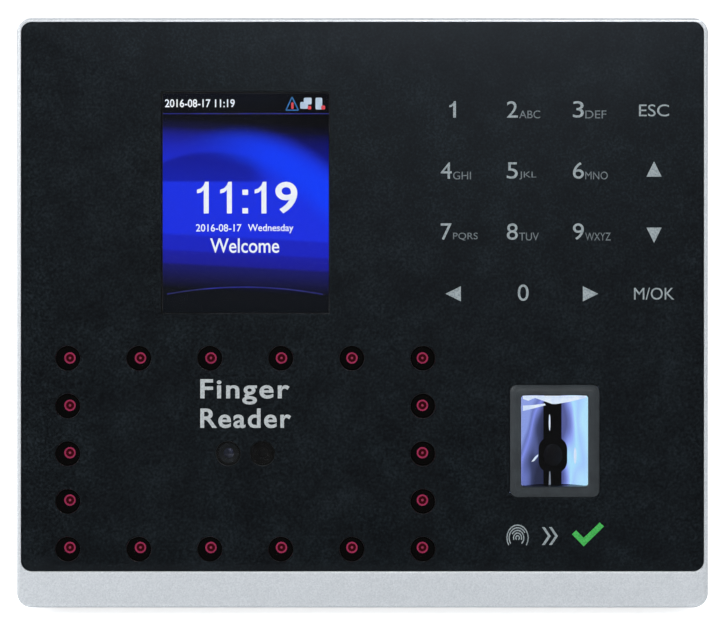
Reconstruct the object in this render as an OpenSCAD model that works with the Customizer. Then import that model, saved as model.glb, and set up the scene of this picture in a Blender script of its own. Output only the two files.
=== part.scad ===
// Wall and desk terminal for fingerprint, face and touch-key sign-in.
// Front faces -Y, +Z is up. The origin is the middle of the bottom of its bounding box.

/* [Case] */
// Width of the silver front frame
face_w = 193.6; // [180:0.2:220]
// Height of the front frame, measured along the face
face_h = 165.2; // [160:0.2:190]
// Lean of the face back from upright, in degrees
tilt = 12; // [8:0.5:14]
// Thickness of the front slab
slab_t = 18; // [17:0.5:22]
// Depth from the foot of the face to the back of the wall plate
total_d = 86; // [84:0.5:100]
// Wall of the moulded case
wall = 2.5; // [2:0.1:3]
// Corner radius of the front frame
corner_r = 4.6; // [4:0.1:8]
// How far the rear housing steps in from the sides of the face
side_step = 12; // [11:0.5:14]

/* [Front panel] */
// Width of the silver edge beside and above the panel
rim = 1.2; // [1:0.1:2]
// Height of the silver lip below the panel
lip_h = 10.2; // [9:0.1:12]
// Thickness of the black panel
panel_t = 2.5; // [2:0.1:3]

/* [Display] */
// Visible display width
lcd_w = 47.2; // [44:0.1:50]
// Visible display height
lcd_h = 62.2; // [58:0.1:64]
// Middle of the display above the foot of the face
lcd_v = 113.4; // [110:0.1:118]

/* [Infrared lamps and cameras] */
// Middle of the lamp field, left of the middle of the face
field_u = -32.8; // [-36:0.1:-30]
// Columns of lamp windows along the top and bottom of the field
lamp_cols = 6; // [4:1:6]
// Rows of lamp windows down each side of the field
lamp_rows = 5; // [4:1:5]
// Distance between lamp columns
lamp_du = 19.88; // [17:0.01:20]
// Distance between lamp rows
lamp_dv = 13.36; // [12:0.01:13.5]
// Lowest lamp row above the foot of the face
lamp_v = 16.4; // [16:0.1:18]
// Radius of a lamp window
window_r = 3.5; // [3:0.1:3.6]
// Distance between the two cameras
camera_gap = 9.6; // [9:0.1:12]
// Height of the cameras above the foot of the face
camera_v = 43.2; // [40:0.1:46]

/* [Fingerprint sensor] */
// Middle of the sensor, right of the middle of the face
sensor_u = 53.8; // [50:0.1:56]
// Middle of the sensor above the foot of the face
sensor_v = 46.7; // [44:0.1:50]
// Outer width of the sensor frame
sensor_w = 25; // [24:0.1:27]
// Outer height of the sensor frame
sensor_h = 31.4; // [30:0.1:33]
// Width of the finger window
finger_w = 18.9; // [18:0.1:19.5]
// Height of the finger window
finger_h = 25.6; // [24:0.1:26]

/* [Touch keys] */
// First key column, right of the middle of the face
key_u = 26.1; // [25:0.1:28]
// Distance between key columns
key_du = 18.5; // [17:0.1:18.6]
// Lowest key row above the foot of the face
key_v = 87.9; // [87:0.1:90]
// Distance between key rows
key_dv = 17.1; // [16:0.1:17.4]

/* [Wall plate] */
// Width of the steel wall plate
plate_w = 130; // [120:1:140]
// Top edge of the wall plate above the base
plate_top = 136; // [134:1:140]
// Side of the square of wall-screw holes
hole_square = 80; // [76:1:84]
// Radius of each wall-screw hole
hole_r = 2.25; // [2:0.05:2.6]
// How far the terminal lifts to leave its hooks
lift = 12; // [10:0.5:12]

/* [Hidden] */
$fn = 48;

front_y = -total_d / 2;                 // foot of the face
foot_z = slab_t * sin(tilt);            // the slab stands on its rear lower edge
gap = 0.3;                              // between pieces that move past each other
panel_in = 0.4;                         // the panel sits this far inside the frame's front
panel_back = panel_in + panel_t;
panel_w = face_w - 2 * rim;
panel_h = face_h - rim - lip_h;
panel_v = lip_h + panel_h / 2;
flange_t = 2.5;                         // front flange of the rear housing
flange_in = slab_t - flange_t;
plate_t = 2;
plate_front = front_y + total_d - plate_t;
back_y = plate_front - gap;             // outer face of the housing's back wall
side_x = face_w / 2 - side_step;        // outer face of the housing's side walls
housing_v = face_h - 8;                 // the housing meets the face up to here
housing_top = 138;                      // height of the upright part of the back
edge_r = 1.1;                           // rounding of the frame's front edges
panel_r = 3;
boss_r = 3.2;                           // screw bosses down both sides of the slab
boss_u = face_w / 2 - wall - boss_r - 1.4;
boss_vs = [10, face_h / 2, face_h - 10];
screw_r = 1.25;
screw_hole_r = 1.7;
screw_head_r = 2.7;
screw_head_h = 1.8;
camera_us = [field_u - camera_gap / 2, field_u + camera_gap / 2];
camera_board_in = 11;                   // front of the camera board behind the face
camera_body = 8.6;                      // square foot of each camera
barrel_r = 3.6;
lens_r = 2.6;
lamp_board_in = 8;
lamp_r = 1.6;
lamp_tip_in = 5.6;                      // where each lamp's dome begins behind the face
sleeve_wall = 0.5;
lamp_seats = [
    for (c = [0 : lamp_cols - 1], r = [0 : lamp_rows - 1])
        if (c == 0 || c == lamp_cols - 1 || r == 0 || r == lamp_rows - 1)
            [field_u + (c - (lamp_cols - 1) / 2) * lamp_du, lamp_v + r * lamp_dv]
];
sensor_box = [29, 35];                  // outer size of the box behind the finger window
sensor_box_in = 4.4;
sensor_board_in = 24;
sensor_wall = 1.4;
sensor_lens_r = 3.4;
holder_r = 5;
carrier_in = 13.4;                      // steel carrier plate behind the front parts
carrier_t = 1.2;
carrier_v = 81;
carrier_h = 134;
board_t = 1.6;
standoff_h = 5;
standoff_r = 3;
main_in = carrier_in + carrier_t + standoff_h;
main_back = main_in + board_t;
prism_h = finger_h - 2 * gap;
lcd_module = [lcd_w + 3, lcd_h + 7];    // the display module is larger than its window
lcd_in = panel_back + 0.6;              // front of the display glass
lcd_frame_t = 0.6;
ribbon_t = 0.3;
cable_v = lcd_v - lcd_h / 2 - 5.4;      // the display's cable leaves below its frame
standoff_seats = [for (u = [-70, -20, 28], v = [27, 135]) [u, v]];
main_board_u = -21;
main_board_size = [108, 118];
processor_at = [-34, 108];
processor_size = 17;
spreader_size = 24;
memory_vs = [84, 98, 112];
capacitor_r = 4;
relay_at = [4, 46];
cell_at = [16, 112];
cell_r = 10;

// Touch keypad behind the panel
key_mid = [key_u + 1.5 * key_du, key_v + 1.5 * key_dv];
key_r = 4.4;

// Cable bay in the back of the housing, open towards the wall
bay_x = 58;
bay_z0 = 24;
bay_z1 = 68;
bay_y = back_y - 23.7;
bay_wall = 2.2;
ceiling_top = bay_z1 + wall;
jack_y = back_y - 12.5;
connector_z = 82;                       // under side of the connector board
mouth_z = 66;                           // mouths of the jacks below the bay's ceiling
jack_gap = 0.15;
network_jack = [16, 13.6];
network_x = -33;
power_x = -50;
power_r = 5.5;
terminal_xs = [-8, 15, 37];
terminal_block = [18, 9];

// Notch for the wall plate's lower lip
notch_x = 14;
notch_z = 18;
notch_y = back_y - 17.7;
lip_y = plate_front - 14;
screw_y = plate_front - 8;
lock_r = 1.5;
lock_head = 2.2;

// Hooks on the wall plate and their slots
hook_xs = [-50, 50];
hook_zs = [98, 126];
hook_w = 8;
hook_rise = 8;
hook_reach = 6.3;
plate_z0 = notch_z - gap - plate_t;
hole_z = 85;
window = [56, 28];                      // cable window in the wall plate
window_z = 30;

// Opening of the rear housing that the back panel fills
back_x = 75;
back_z0 = 3;
back_z1 = 134;

// Side port
usb_y = front_y + 62;
usb_z = 100;
usb_shell = [13.2, 5.8];
usb_depth = 14;
cover_w = 22;
cover_h = 13;
cover_t = 1.4;
recess_floor = side_x - 1.9;
usb_pad_in = recess_floor - 2.6;
hinge_r = 0.9;
hinge_room = 1.3;                       // radius of the hollow round the cover's hinge
cover_hinge = [side_x - 1.1, usb_z - cover_h / 2 + 1];

// Speaker on the left wall
speaker_y = front_y + 60;
speaker_z = 108;
speaker_r = 14;
gasket_t = 0.8;

// Tamper plunger, above the wall plate
tamper_x = 0;
tamper_z = 140;
tamper_r = 1.6;
tamper_flange_y = back_y - 12.4;
tamper_switch_y = back_y - 22;
tamper_body = [8, 6, 8];
guide_r = 4.5;

reset_x = 51;
reset_r = 1.6;

module on_face() {
    translate([0, front_y, foot_z]) rotate([90 - tilt, 0, 0]) children();
}

// A block in face coordinates: middle (u, v), from depth w0 to depth w1
module face_block(u, v, w, h, d0, d1) {
    translate([u - w / 2, v - h / 2, -d1]) cube([w, h, d1 - d0]);
}

module face_disc(u, v, r, d0, d1) {
    translate([u, v, -d1]) cylinder(h = d1 - d0, r = r);
}

module round_rect(w, h, r) {
    square([w - 2 * r, h], center = true);
    square([w, h - 2 * r], center = true);
    for (x = [-1, 1], y = [-1, 1]) translate([x * (w / 2 - r), y * (h / 2 - r)]) circle(r);
}

// A round-cornered plate in face coordinates
module face_plate(u, v, w, h, r, d0, d1) {
    translate([u, v, -d1]) linear_extrude(d1 - d0) round_rect(w, h, r);
}

// Outline of the slab seen along its face, with its two front corners rounded
module slab_section(w, depth, r) {
    translate([-w / 2, -depth]) square([w, depth - r]);
    translate([-w / 2 + r, -depth]) square([w - 2 * r, depth]);
    for (x = [-1, 1]) translate([x * (w / 2 - r), -r]) circle(r);
}

module front_bezel() {
    ledge = 1.6;
    color("silver") on_face() difference() {
        intersection() {
            face_plate(0, face_h / 2, face_w, face_h, corner_r, 0, slab_t);
            translate([0, face_h + 1, 0]) rotate([90, 0, 0])
                linear_extrude(face_h + 2) slab_section(face_w, slab_t, edge_r);
            translate([-face_w / 2 - 1, face_h / 2, 0]) rotate([90, 0, 90])
                linear_extrude(face_w + 2) slab_section(face_h, slab_t, edge_r);
        }
        face_plate(0, panel_v, panel_w, panel_h, panel_r, -1, panel_back);
        difference() {
            face_plate(0, face_h / 2, face_w - 2 * wall, face_h - 2 * wall, panel_r, panel_back, slab_t + 1);
            face_block(0, lip_h, face_w, 2 * ledge, panel_back - 1, panel_back + ledge);
            for (side = [-1, 1], v = boss_vs) {
                face_disc(side * boss_u, v, boss_r, panel_back, flange_in);
                face_block(side * (boss_u + boss_r), v, 2 * boss_r, 2, panel_back, flange_in);
            }
        }
        for (side = [-1, 1], v = boss_vs)
            face_disc(side * boss_u, v, screw_r, flange_in - 8, slab_t);
    }
}

module front_panel() {
    color("#232427") on_face() difference() {
        face_plate(0, panel_v, panel_w, panel_h, panel_r, panel_in, panel_back);
        face_block(field_u, lcd_v, lcd_w, lcd_h, 0, 5);
        face_plate(sensor_u, sensor_v, sensor_w + gap, sensor_h + gap, 2, 0, 5);
        for (s = lamp_seats) face_disc(s[0], s[1], window_r, 0, 5);
        for (u = camera_us) face_disc(u, camera_v, window_r, 0, 5);
    }
}

// Side outline of the rear housing, drawn in (y, z); inset makes the hollow inside it
module housing_side(inset) {
    front_bottom = [front_y + slab_t * cos(tilt), 0];
    front_top = front_bottom + housing_v * [sin(tilt), cos(tilt)];
    round_r = 12;
    back = back_y - inset;
    reach = inset > 0 ? 12 : 0;         // the hollow runs on forward into the slab
    along = [sin(tilt), cos(tilt)];
    ahead = [-cos(tilt), sin(tilt)];
    bottom = inset > 0 ? front_bottom + (inset / cos(tilt)) * along : front_bottom;
    top = front_top - (inset > 0 ? inset : 0) * along;
    polygon(concat(
        [bottom + reach * ahead, bottom],
        inset > 0 ? [[bottom[0], inset], [back, inset]] : [[back, 0]],
        [for (a = [0 : 10 : 80]) [back - round_r + round_r * cos(a), housing_top - inset + round_r * sin(a)]],
        [top, top + reach * ahead]
    ));
}

module housing_solid(inset, width, r) {
    intersection() {
        translate([-width / 2, 0, 0]) rotate([90, 0, 90]) linear_extrude(width) housing_side(inset);
        translate([0, back_y - inset - 60, -50]) linear_extrude(300)
            round_rect(width, 120, r);
    }
}

module grille(count, pitch, r) {
    for (i = [-count : count], j = [-count : count])
        if (norm([i, j]) <= count + 0.3)
            translate([i * pitch, j * pitch, 0]) cylinder(h = 12, r = r, center = true, $fn = 24);
}

// A hole in the bay's ceiling for a jack of the given width and depth
module ceiling_cut(x, size) {
    translate([x - size[0] / 2 - jack_gap, jack_y - size[1] / 2 - jack_gap, bay_z1 - 1])
        cube([size[0] + 2 * jack_gap, size[1] + 2 * jack_gap, 6]);
}

module bay_hollows() {
    translate([-bay_x, bay_y, bay_z0]) cube([2 * bay_x, 40, bay_z1 - bay_z0]);
    translate([-notch_x, notch_y, -1]) cube([2 * notch_x, 40, notch_z + 1]);
}

// The tub in the back of the housing that holds the jacks' mouths, with the block that the lock screw enters
module cable_bay() {
    bay_back = back_y - wall;
    color("#222326") difference() {
        union() {
            translate([-bay_x - bay_wall, bay_y - bay_wall, bay_z0 - bay_wall])
                cube([2 * (bay_x + bay_wall), bay_back - bay_y + bay_wall, ceiling_top - bay_z0 + bay_wall]);
            translate([-notch_x - bay_wall, notch_y - bay_wall, wall])
                cube([2 * (notch_x + bay_wall), bay_back - notch_y + bay_wall, bay_z0 - wall]);
        }
        bay_hollows();
        translate([0, screw_y, notch_z - 1]) cylinder(h = bay_z0 - notch_z + 2, r = lock_r + gap);
        ceiling_cut(network_x, network_jack);
        for (x = terminal_xs) ceiling_cut(x, terminal_block);
        translate([power_x, jack_y, bay_z1 - 1]) cylinder(h = 6, r = power_r + jack_gap);
        translate([reset_x, jack_y, bay_z1 - 1]) cylinder(h = 6, r = reset_r + gap);
    }
}

module rear_housing() {
    color("#1c1d1f") difference() {
        union() {
            difference() {
                union() {
                    on_face() face_plate(0, face_h / 2, face_w - 2 * wall - gap, face_h - 2 * wall - gap,
                        panel_r, flange_in, slab_t);
                    housing_solid(0, 2 * side_x, 9);
                }
                housing_solid(wall, 2 * (side_x - wall), 6.5);
            }
            // pad behind the side port
            translate([usb_pad_in, usb_y - cover_w / 2 - 3, usb_z - cover_h / 2 - 3])
                cube([side_x - usb_pad_in, cover_w + 6, cover_h + 6]);
            // guide of the tamper plunger and the two arms that hold its switch
            translate([tamper_x, back_y - 8.4, tamper_z]) rotate([-90, 0, 0]) cylinder(h = 7, r = guide_r);
            for (side = [-1, 1])
                translate([tamper_x + side * 4.8 - 0.8, tamper_switch_y, tamper_z - tamper_body[2] / 2])
                    cube([1.6, back_y - tamper_switch_y - 1, tamper_body[2]]);
        }
        bay_hollows();
        translate([-back_x, back_y - wall - 0.5, back_z0]) cube([2 * back_x, 10, back_z1 - back_z0]);
        // side port: recess for the cover, mouth of the socket and room for the hinge
        translate([recess_floor, usb_y - cover_w / 2 - gap, cover_hinge[1]])
            cube([5, cover_w + 2 * gap, cover_h]);
        translate([cover_hinge[0], usb_y - cover_w / 2 - gap, cover_hinge[1]]) rotate([-90, 0, 0])
            cylinder(h = cover_w + 2 * gap, r = hinge_room);
        translate([cover_hinge[0], usb_y - cover_w / 2 - gap, cover_hinge[1] - hinge_room])
            cube([5, cover_w + 2 * gap, hinge_room]);
        translate([side_x - 25, usb_y - usb_shell[0] / 2 - jack_gap, usb_z - usb_shell[1] / 2 - jack_gap])
            cube([40, usb_shell[0] + 2 * jack_gap, usb_shell[1] + 2 * jack_gap]);
        // tamper plunger bore
        translate([tamper_x, back_y - 12, tamper_z]) rotate([-90, 0, 0]) cylinder(h = 14, r = tamper_r + 0.1);
        translate([-side_x, speaker_y, speaker_z]) rotate([0, 90, 0]) grille(4, 2.6, 0.75);
        for (side = [-1, 1], v = boss_vs)
            on_face() face_disc(side * boss_u, v, screw_hole_r, flange_in - 1, slab_t + 1);
    }
}

// The flat middle of the back, with the hook slots, the air slots and the mouth of the cable bay
module back_panel() {
    seam = 0.1;
    color("#202124") difference() {
        translate([-back_x + seam, back_y - wall, back_z0 + seam])
            cube([2 * (back_x - seam), wall, back_z1 - back_z0 - 2 * seam]);
        bay_hollows();
        for (x = hook_xs, z = hook_zs)
            translate([x - hook_w / 2 - 1, back_y - 4, z - lift - 0.6])
                cube([hook_w + 2, 8, plate_t + lift + 0.6 + gap]);
        for (side = [-1, 1], i = [0 : 6])
            translate([side * 26 + (i - 3) * 5 - 1, back_y - 6, 84]) cube([2, 12, 12]);
    }
}

module case_screws() {
    color("#6a6c70") on_face() for (side = [-1, 1], v = boss_vs) difference() {
        union() {
            face_disc(side * boss_u, v, screw_r, flange_in - 7, slab_t);
            face_disc(side * boss_u, v, screw_head_r, slab_t, slab_t + screw_head_h);
        }
        translate([side * boss_u, v, -slab_t - screw_head_h]) cylinder(h = 1.1, r = 1.3, $fn = 6);
    }
}

module lcd_window() {
    color("#11131a") on_face() face_block(field_u, lcd_v, lcd_w, lcd_h, panel_in + 0.15, panel_in + 1.35);
}

module lcd_gasket() {
    color("#303030") on_face() difference() {
        face_block(field_u, lcd_v, lcd_w + 4, lcd_h + 4, panel_back, lcd_in);
        face_block(field_u, lcd_v, lcd_w - 2 * gap, lcd_h - 2 * gap, 0, 9);
    }
}

module lcd_glass() {
    color("#20305a") on_face() face_block(field_u, lcd_v, lcd_module[0], lcd_module[1], lcd_in, lcd_in + 1.8);
}

module lcd_backlight() {
    color("white") on_face() face_block(field_u, lcd_v, lcd_module[0], lcd_module[1], lcd_in + 1.8, lcd_in + 4.4);
}

module lcd_frame() {
    color("silver") on_face() difference() {
        face_block(field_u, lcd_v, lcd_module[0] + 2 * lcd_frame_t, lcd_module[1] + 2 * lcd_frame_t,
            lcd_in + 0.2, lcd_in + 5);
        face_block(field_u, lcd_v, lcd_module[0], lcd_module[1], 0, lcd_in + 4.4);
    }
}

module touch_key_board() {
    color("darkgreen") on_face()
        face_block(key_mid[0], key_mid[1], 3 * key_du + 2 * key_r, 3 * key_dv + 15,
            panel_back + 0.3, panel_back + 1.9);
}

module touch_electrodes() {
    color("goldenrod") on_face() for (c = [0 : 3], r = [0 : 3])
        face_disc(key_u + c * key_du, key_v + r * key_dv, key_r, panel_back, panel_back + 0.3);
}

module key_controller() {
    color("#202020") on_face() {
        face_block(key_mid[0], key_mid[1], 9, 9, panel_back + 1.9, panel_back + 3);
        face_block(key_mid[0] - 18, key_mid[1], 5, 12, panel_back + 1.9, panel_back + 3.6);
    }
}

module lamp_filters() {
    color("#2a0a10") on_face() for (s = lamp_seats)
        face_disc(s[0], s[1], window_r - 0.05, panel_in + 0.5, panel_in + 1.5);
}

module lamp_sleeves() {
    color("#101010") on_face() for (s = lamp_seats) difference() {
        face_disc(s[0], s[1], window_r + sleeve_wall, panel_back, lamp_board_in);
        face_disc(s[0], s[1], window_r - sleeve_wall, panel_back - 1, lamp_board_in + 1);
    }
}

module infrared_leds() {
    color("#6a2a45") on_face() for (s = lamp_seats) {
        face_disc(s[0], s[1], lamp_r, lamp_tip_in, lamp_board_in);
        face_disc(s[0], s[1], lamp_r + 0.4, lamp_board_in - 0.8, lamp_board_in);
        translate([s[0], s[1], -lamp_tip_in]) intersection() {
            sphere(lamp_r);
            cylinder(h = 2 * lamp_r, r = 2 * lamp_r);
        }
    }
}

module lamp_board() {
    lamp_w = (lamp_cols - 1) * lamp_du + 8;
    color("darkgreen") on_face() difference() {
        face_block(field_u, lamp_v + 2 * lamp_dv, lamp_w, 4 * lamp_dv + 9, lamp_board_in, lamp_board_in + board_t);
        face_block(field_u, camera_v, 34, 24, 0, 30);
    }
}

module camera_windows() {
    color("#303840") on_face() for (u = camera_us)
        face_disc(u, camera_v, window_r - 0.05, panel_in + 0.3, panel_in + 1.2);
}

module camera_barrel(u) {
    on_face() difference() {
        union() {
            face_disc(u, camera_v, barrel_r, 3.2, 8);
            face_block(u, camera_v, camera_body, camera_body, 8, camera_board_in);
        }
        face_disc(u, camera_v, lens_r, 2, 7);
    }
}

module colour_camera() {
    color("#1a1a1c") camera_barrel(camera_us[0]);
}

module infrared_camera() {
    color("#141416") camera_barrel(camera_us[1]);
}

module camera_lenses() {
    color("#4a5565") on_face() for (u = camera_us) {
        face_disc(u, camera_v, lens_r, 5.4, 7);
        translate([u, camera_v, -8.8]) intersection() {
            sphere(4.2);
            translate([0, 0, 3.4]) cylinder(h = 3, r = lens_r - 0.2);
        }
    }
}

module camera_board() {
    color("darkgreen") on_face()
        face_block(field_u, camera_v, 30, 19, camera_board_in, camera_board_in + board_t);
}

// A frame round the finger window that stands proud of the panel in two steps
module sensor_frame() {
    color("#46494b") on_face() difference() {
        union() {
            face_plate(sensor_u, sensor_v, sensor_w, sensor_h, 2, 0, 4.4);
            face_plate(sensor_u, sensor_v, sensor_w - 1, sensor_h - 1, 1.8, -0.4, 1);
        }
        face_plate(sensor_u, sensor_v, finger_w, finger_h, 1, -2, 6);
    }
}

module finger_prism() {
    color("#c8d4ff") on_face() translate([sensor_u - finger_w / 2 + gap, sensor_v - finger_h / 2 + gap, 0])
        rotate([90, 0, 90]) linear_extrude(finger_w - 2 * gap)
            polygon([[0, -0.5], [prism_h, -0.5], [prism_h, -4.6], [prism_h - 10, -7.6], [0, -4.6]]);
}

module sensor_housing() {
    color("#151618") on_face() difference() {
        face_block(sensor_u, sensor_v, sensor_box[0], sensor_box[1], sensor_box_in, sensor_board_in);
        face_block(sensor_u, sensor_v, sensor_box[0] - 2 * sensor_wall, sensor_box[1] - 2 * sensor_wall,
            sensor_box_in - 1, sensor_board_in - sensor_wall);
        face_disc(sensor_u, sensor_v, holder_r + 0.1, 20, 30);
    }
}

module sensor_light_strips() {
    color("#c4d2ff") on_face() for (side = [-1, 1])
        face_block(sensor_u + side * (sensor_box[0] / 2 - sensor_wall - 1), sensor_v, 2, 30, 8, 20);
}

module sensor_lens_holder() {
    color("black") on_face() difference() {
        face_disc(sensor_u, sensor_v, holder_r, 14, sensor_board_in);
        face_disc(sensor_u, sensor_v, sensor_lens_r, 13, 30);
    }
}

module sensor_lens() {
    color("#2a3350") on_face() face_disc(sensor_u, sensor_v, sensor_lens_r, 15.5, 20);
}

module sensor_board() {
    color("darkgreen") on_face() face_block(sensor_u, sensor_v, sensor_box[0] + 4, sensor_box[1] + 4,
        sensor_board_in, sensor_board_in + board_t);
}

module carrier_plate() {
    color("lightgrey") on_face() difference() {
        face_block(0, carrier_v, 2 * (side_x - wall) - 1, carrier_h, carrier_in, carrier_in + carrier_t);
        face_block(sensor_u, sensor_v, sensor_box[0] + 1, sensor_box[1] + 1, 0, 30);
        face_block(field_u, camera_v + 14, 20, 8, 0, 30);
        face_block(field_u, cable_v, 30, 5, 0, 30);
        for (s = standoff_seats) face_disc(s[0], s[1], screw_r, 0, 30);
    }
}

module board_standoffs() {
    color("goldenrod") on_face() for (s = standoff_seats) difference() {
        translate([s[0], s[1], -main_in]) cylinder(h = standoff_h, r = standoff_r, $fn = 6);
        face_disc(s[0], s[1], screw_r, 0, 30);
    }
}

module main_board() {
    color("darkgreen") on_face() difference() {
        face_block(main_board_u, carrier_v, main_board_size[0], main_board_size[1], main_in, main_back);
        for (s = standoff_seats) face_disc(s[0], s[1], screw_r + 0.25, 0, 30);
    }
}

module board_screws() {
    color("silver") on_face() for (s = standoff_seats) {
        face_disc(s[0], s[1], screw_r, main_in - 4, main_back);
        face_disc(s[0], s[1], screw_head_r, main_back, main_back + screw_head_h);
    }
}

module processor() {
    color("#1d1d1f") on_face()
        face_block(processor_at[0], processor_at[1], processor_size, processor_size, main_back, main_back + 1.4);
}

module heat_spreader() {
    color("#8a8d92") on_face() {
        face_block(processor_at[0], processor_at[1], spreader_size, spreader_size, main_back + 1.4, main_back + 3);
        for (i = [-3 : 3])
            face_block(processor_at[0] + i * 3.6, processor_at[1], 1.2, spreader_size,
                main_back + 3, main_back + 8);
    }
}

module memory_chips() {
    color("#1d1d1f") on_face() for (v = memory_vs)
        face_block(-8, v, 12, 9, main_back, main_back + 1.1);
}

module board_capacitors() {
    color("#2b3a66") on_face() for (u = [-64, -52, -40], v = [40, 54])
        face_disc(u, v, capacitor_r, main_back, main_back + 9);
}

module door_relay() {
    color("#2255aa") on_face() face_block(relay_at[0], relay_at[1], 15, 19, main_back, main_back + 15);
}

module coin_cell_holder() {
    color("#202022") on_face() difference() {
        face_disc(cell_at[0], cell_at[1], cell_r + 2, main_back, main_back + 4.4);
        face_disc(cell_at[0], cell_at[1], cell_r + 0.1, main_back + 0.8, main_back + 6);
    }
}

module coin_cell() {
    color("silver") on_face() face_disc(cell_at[0], cell_at[1], cell_r, main_back + 0.8, main_back + 4);
}

module speaker() {
    color("#222224") translate([-side_x + wall + gasket_t, speaker_y, speaker_z]) rotate([0, 90, 0]) {
        cylinder(h = 3, r = speaker_r);
        translate([0, 0, 3]) cylinder(h = 3.4, r = 8);
    }
}

module speaker_gasket() {
    color("#3a3a3a") translate([-side_x + wall, speaker_y, speaker_z]) rotate([0, 90, 0]) difference() {
        cylinder(h = gasket_t, r = speaker_r);
        translate([0, 0, -1]) cylinder(h = 4, r = speaker_r - 1.4);
    }
}

module connector_board() {
    color("darkgreen") translate([-bay_x + 1, jack_y - 9.5, connector_z]) cube([2 * bay_x - 2, 19, board_t]);
}

module ethernet_jack() {
    color("silver") translate([network_x, jack_y, 0]) difference() {
        translate([-network_jack[0] / 2, -network_jack[1] / 2, mouth_z])
            cube([network_jack[0], network_jack[1], connector_z - mouth_z]);
        translate([-6, -4.2, mouth_z - 1]) cube([12, 8, 12]);
        translate([-3, 3, mouth_z - 1]) cube([6, 2.6, 9]);
    }
}

module power_jack() {
    color("#202020") translate([power_x, jack_y, mouth_z]) {
        difference() {
            cylinder(h = connector_z - mouth_z, r = power_r);
            translate([0, 0, -1]) cylinder(h = 10, r = 2.9);
        }
        translate([0, 0, 1]) cylinder(h = 9, r = 1);
    }
}

module terminal_blocks() {
    color("seagreen") for (x = terminal_xs) translate([x, jack_y, 0]) difference() {
        translate([-terminal_block[0] / 2, -terminal_block[1] / 2, mouth_z])
            cube([terminal_block[0], terminal_block[1], connector_z - mouth_z]);
        for (i = [-2 : 2]) translate([i * 3.5 - 1.25, -1.5, mouth_z - 1]) cube([2.5, 3, 8]);
        for (i = [-2 : 2]) translate([i * 3.5, -3.2, mouth_z - 1]) cylinder(h = 4, r = 1.1, $fn = 24);
    }
}

module reset_switch() {
    color("#202020") translate([reset_x - 3, jack_y - 3, connector_z - 3.4]) cube([6, 6, 3.4]);
}

module reset_button() {
    color("#c8c8c8") translate([reset_x, jack_y, 0]) {
        translate([0, 0, bay_z1 + 0.4]) cylinder(h = 9, r = reset_r);
        translate([0, 0, ceiling_top + gap]) cylinder(h = 1, r = 2.6);
    }
}

module usb_board() {
    color("darkgreen") translate([usb_pad_in - 18, usb_y - 10, usb_z - usb_shell[1] / 2 - board_t])
        cube([18, 20, board_t]);
}

module usb_socket() {
    shell_at = [usb_pad_in - usb_depth, usb_y - usb_shell[0] / 2, usb_z - usb_shell[1] / 2];
    color("silver") translate(shell_at) difference() {
        cube([recess_floor - usb_pad_in + usb_depth - 0.2, usb_shell[0], usb_shell[1]]);
        translate([3, 0.4, 0.4]) cube([40, usb_shell[0] - 0.8, usb_shell[1] - 0.8]);
    }
    color("white") translate([usb_pad_in - 11, usb_y - 5.6, usb_z + 0.5]) cube([11, 11.2, 1.8]);
}

module usb_cover() {
    color("#202022") {
        translate([side_x - gap - cover_t, usb_y - cover_w / 2, cover_hinge[1]])
            cube([cover_t, cover_w, cover_h - gap - 0.6]);
        translate([cover_hinge[0], usb_y - cover_w / 2, cover_hinge[1]]) rotate([-90, 0, 0])
            cylinder(h = cover_w, r = hinge_r);
    }
}

module tamper_switch() {
    color("#202020") 
        translate([tamper_x - tamper_body[0] / 2, tamper_switch_y, tamper_z - tamper_body[2] / 2])
            cube(tamper_body);
}

module tamper_spring() {
    spring_y = tamper_switch_y + tamper_body[1];
    color("silver") translate([tamper_x, spring_y, tamper_z]) rotate([-90, 0, 0]) difference() {
        cylinder(h = tamper_flange_y - spring_y, r = 2.6);
        translate([0, 0, -1]) cylinder(h = 6, r = 2);
    }
}

module tamper_plunger() {
    color("#d8d8d8") translate([tamper_x, 0, tamper_z]) rotate([-90, 0, 0]) {
        translate([0, 0, tamper_flange_y]) cylinder(h = plate_front + plate_t - tamper_flange_y, r = tamper_r);
        translate([0, 0, tamper_flange_y]) cylinder(h = 1, r = 3.2);
    }
}

module display_cable() {
    color("goldenrod") on_face() {
        face_block(field_u, cable_v, 24, ribbon_t, panel_back + 4, main_in);
        face_block(field_u, cable_v + 0.7, 24, 1.1, panel_back + 4, panel_back + 4 + ribbon_t);
    }
}

module sensor_cable() {
    color("goldenrod") on_face() {
        face_block(sensor_u - 20.65, sensor_v, ribbon_t, 12, main_in, 24.7);
        face_block(sensor_u - 18.5, sensor_v, 4, 12, 24.7 - ribbon_t, 24.7);
    }
}

module connector_cable() {
    color("goldenrod") translate([-20, jack_y - 9.5 - ribbon_t, connector_z - 6]) cube([30, ribbon_t, 7]);
}

module wall_plate() {
    color("#9a9da1") difference() {
        union() {
            translate([-plate_w / 2, plate_front, plate_z0]) cube([plate_w, plate_t, plate_top - plate_z0]);
            translate([-notch_x + 1.5, lip_y, plate_z0]) cube([2 * notch_x - 3, plate_front - lip_y + 1, plate_t]);
            for (x = hook_xs, z = hook_zs) translate([x - hook_w / 2, plate_front - hook_reach, z]) {
                cube([hook_w, hook_reach + 0.1, plate_t]);
                cube([hook_w, plate_t, plate_t + hook_rise]);
            }
        }
        translate([-window[0] / 2, plate_front - 1, window_z]) cube([window[0], 6, window[1]]);
        for (x = [-1, 1], z = [-1, 1])
            translate([x * hole_square / 2, plate_front - 1, hole_z + z * hole_square / 2]) rotate([-90, 0, 0])
                cylinder(h = 4, r = hole_r);
        translate([0, screw_y, plate_z0 - 1]) cylinder(h = 4, r = 1.65);
    }
}

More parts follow.
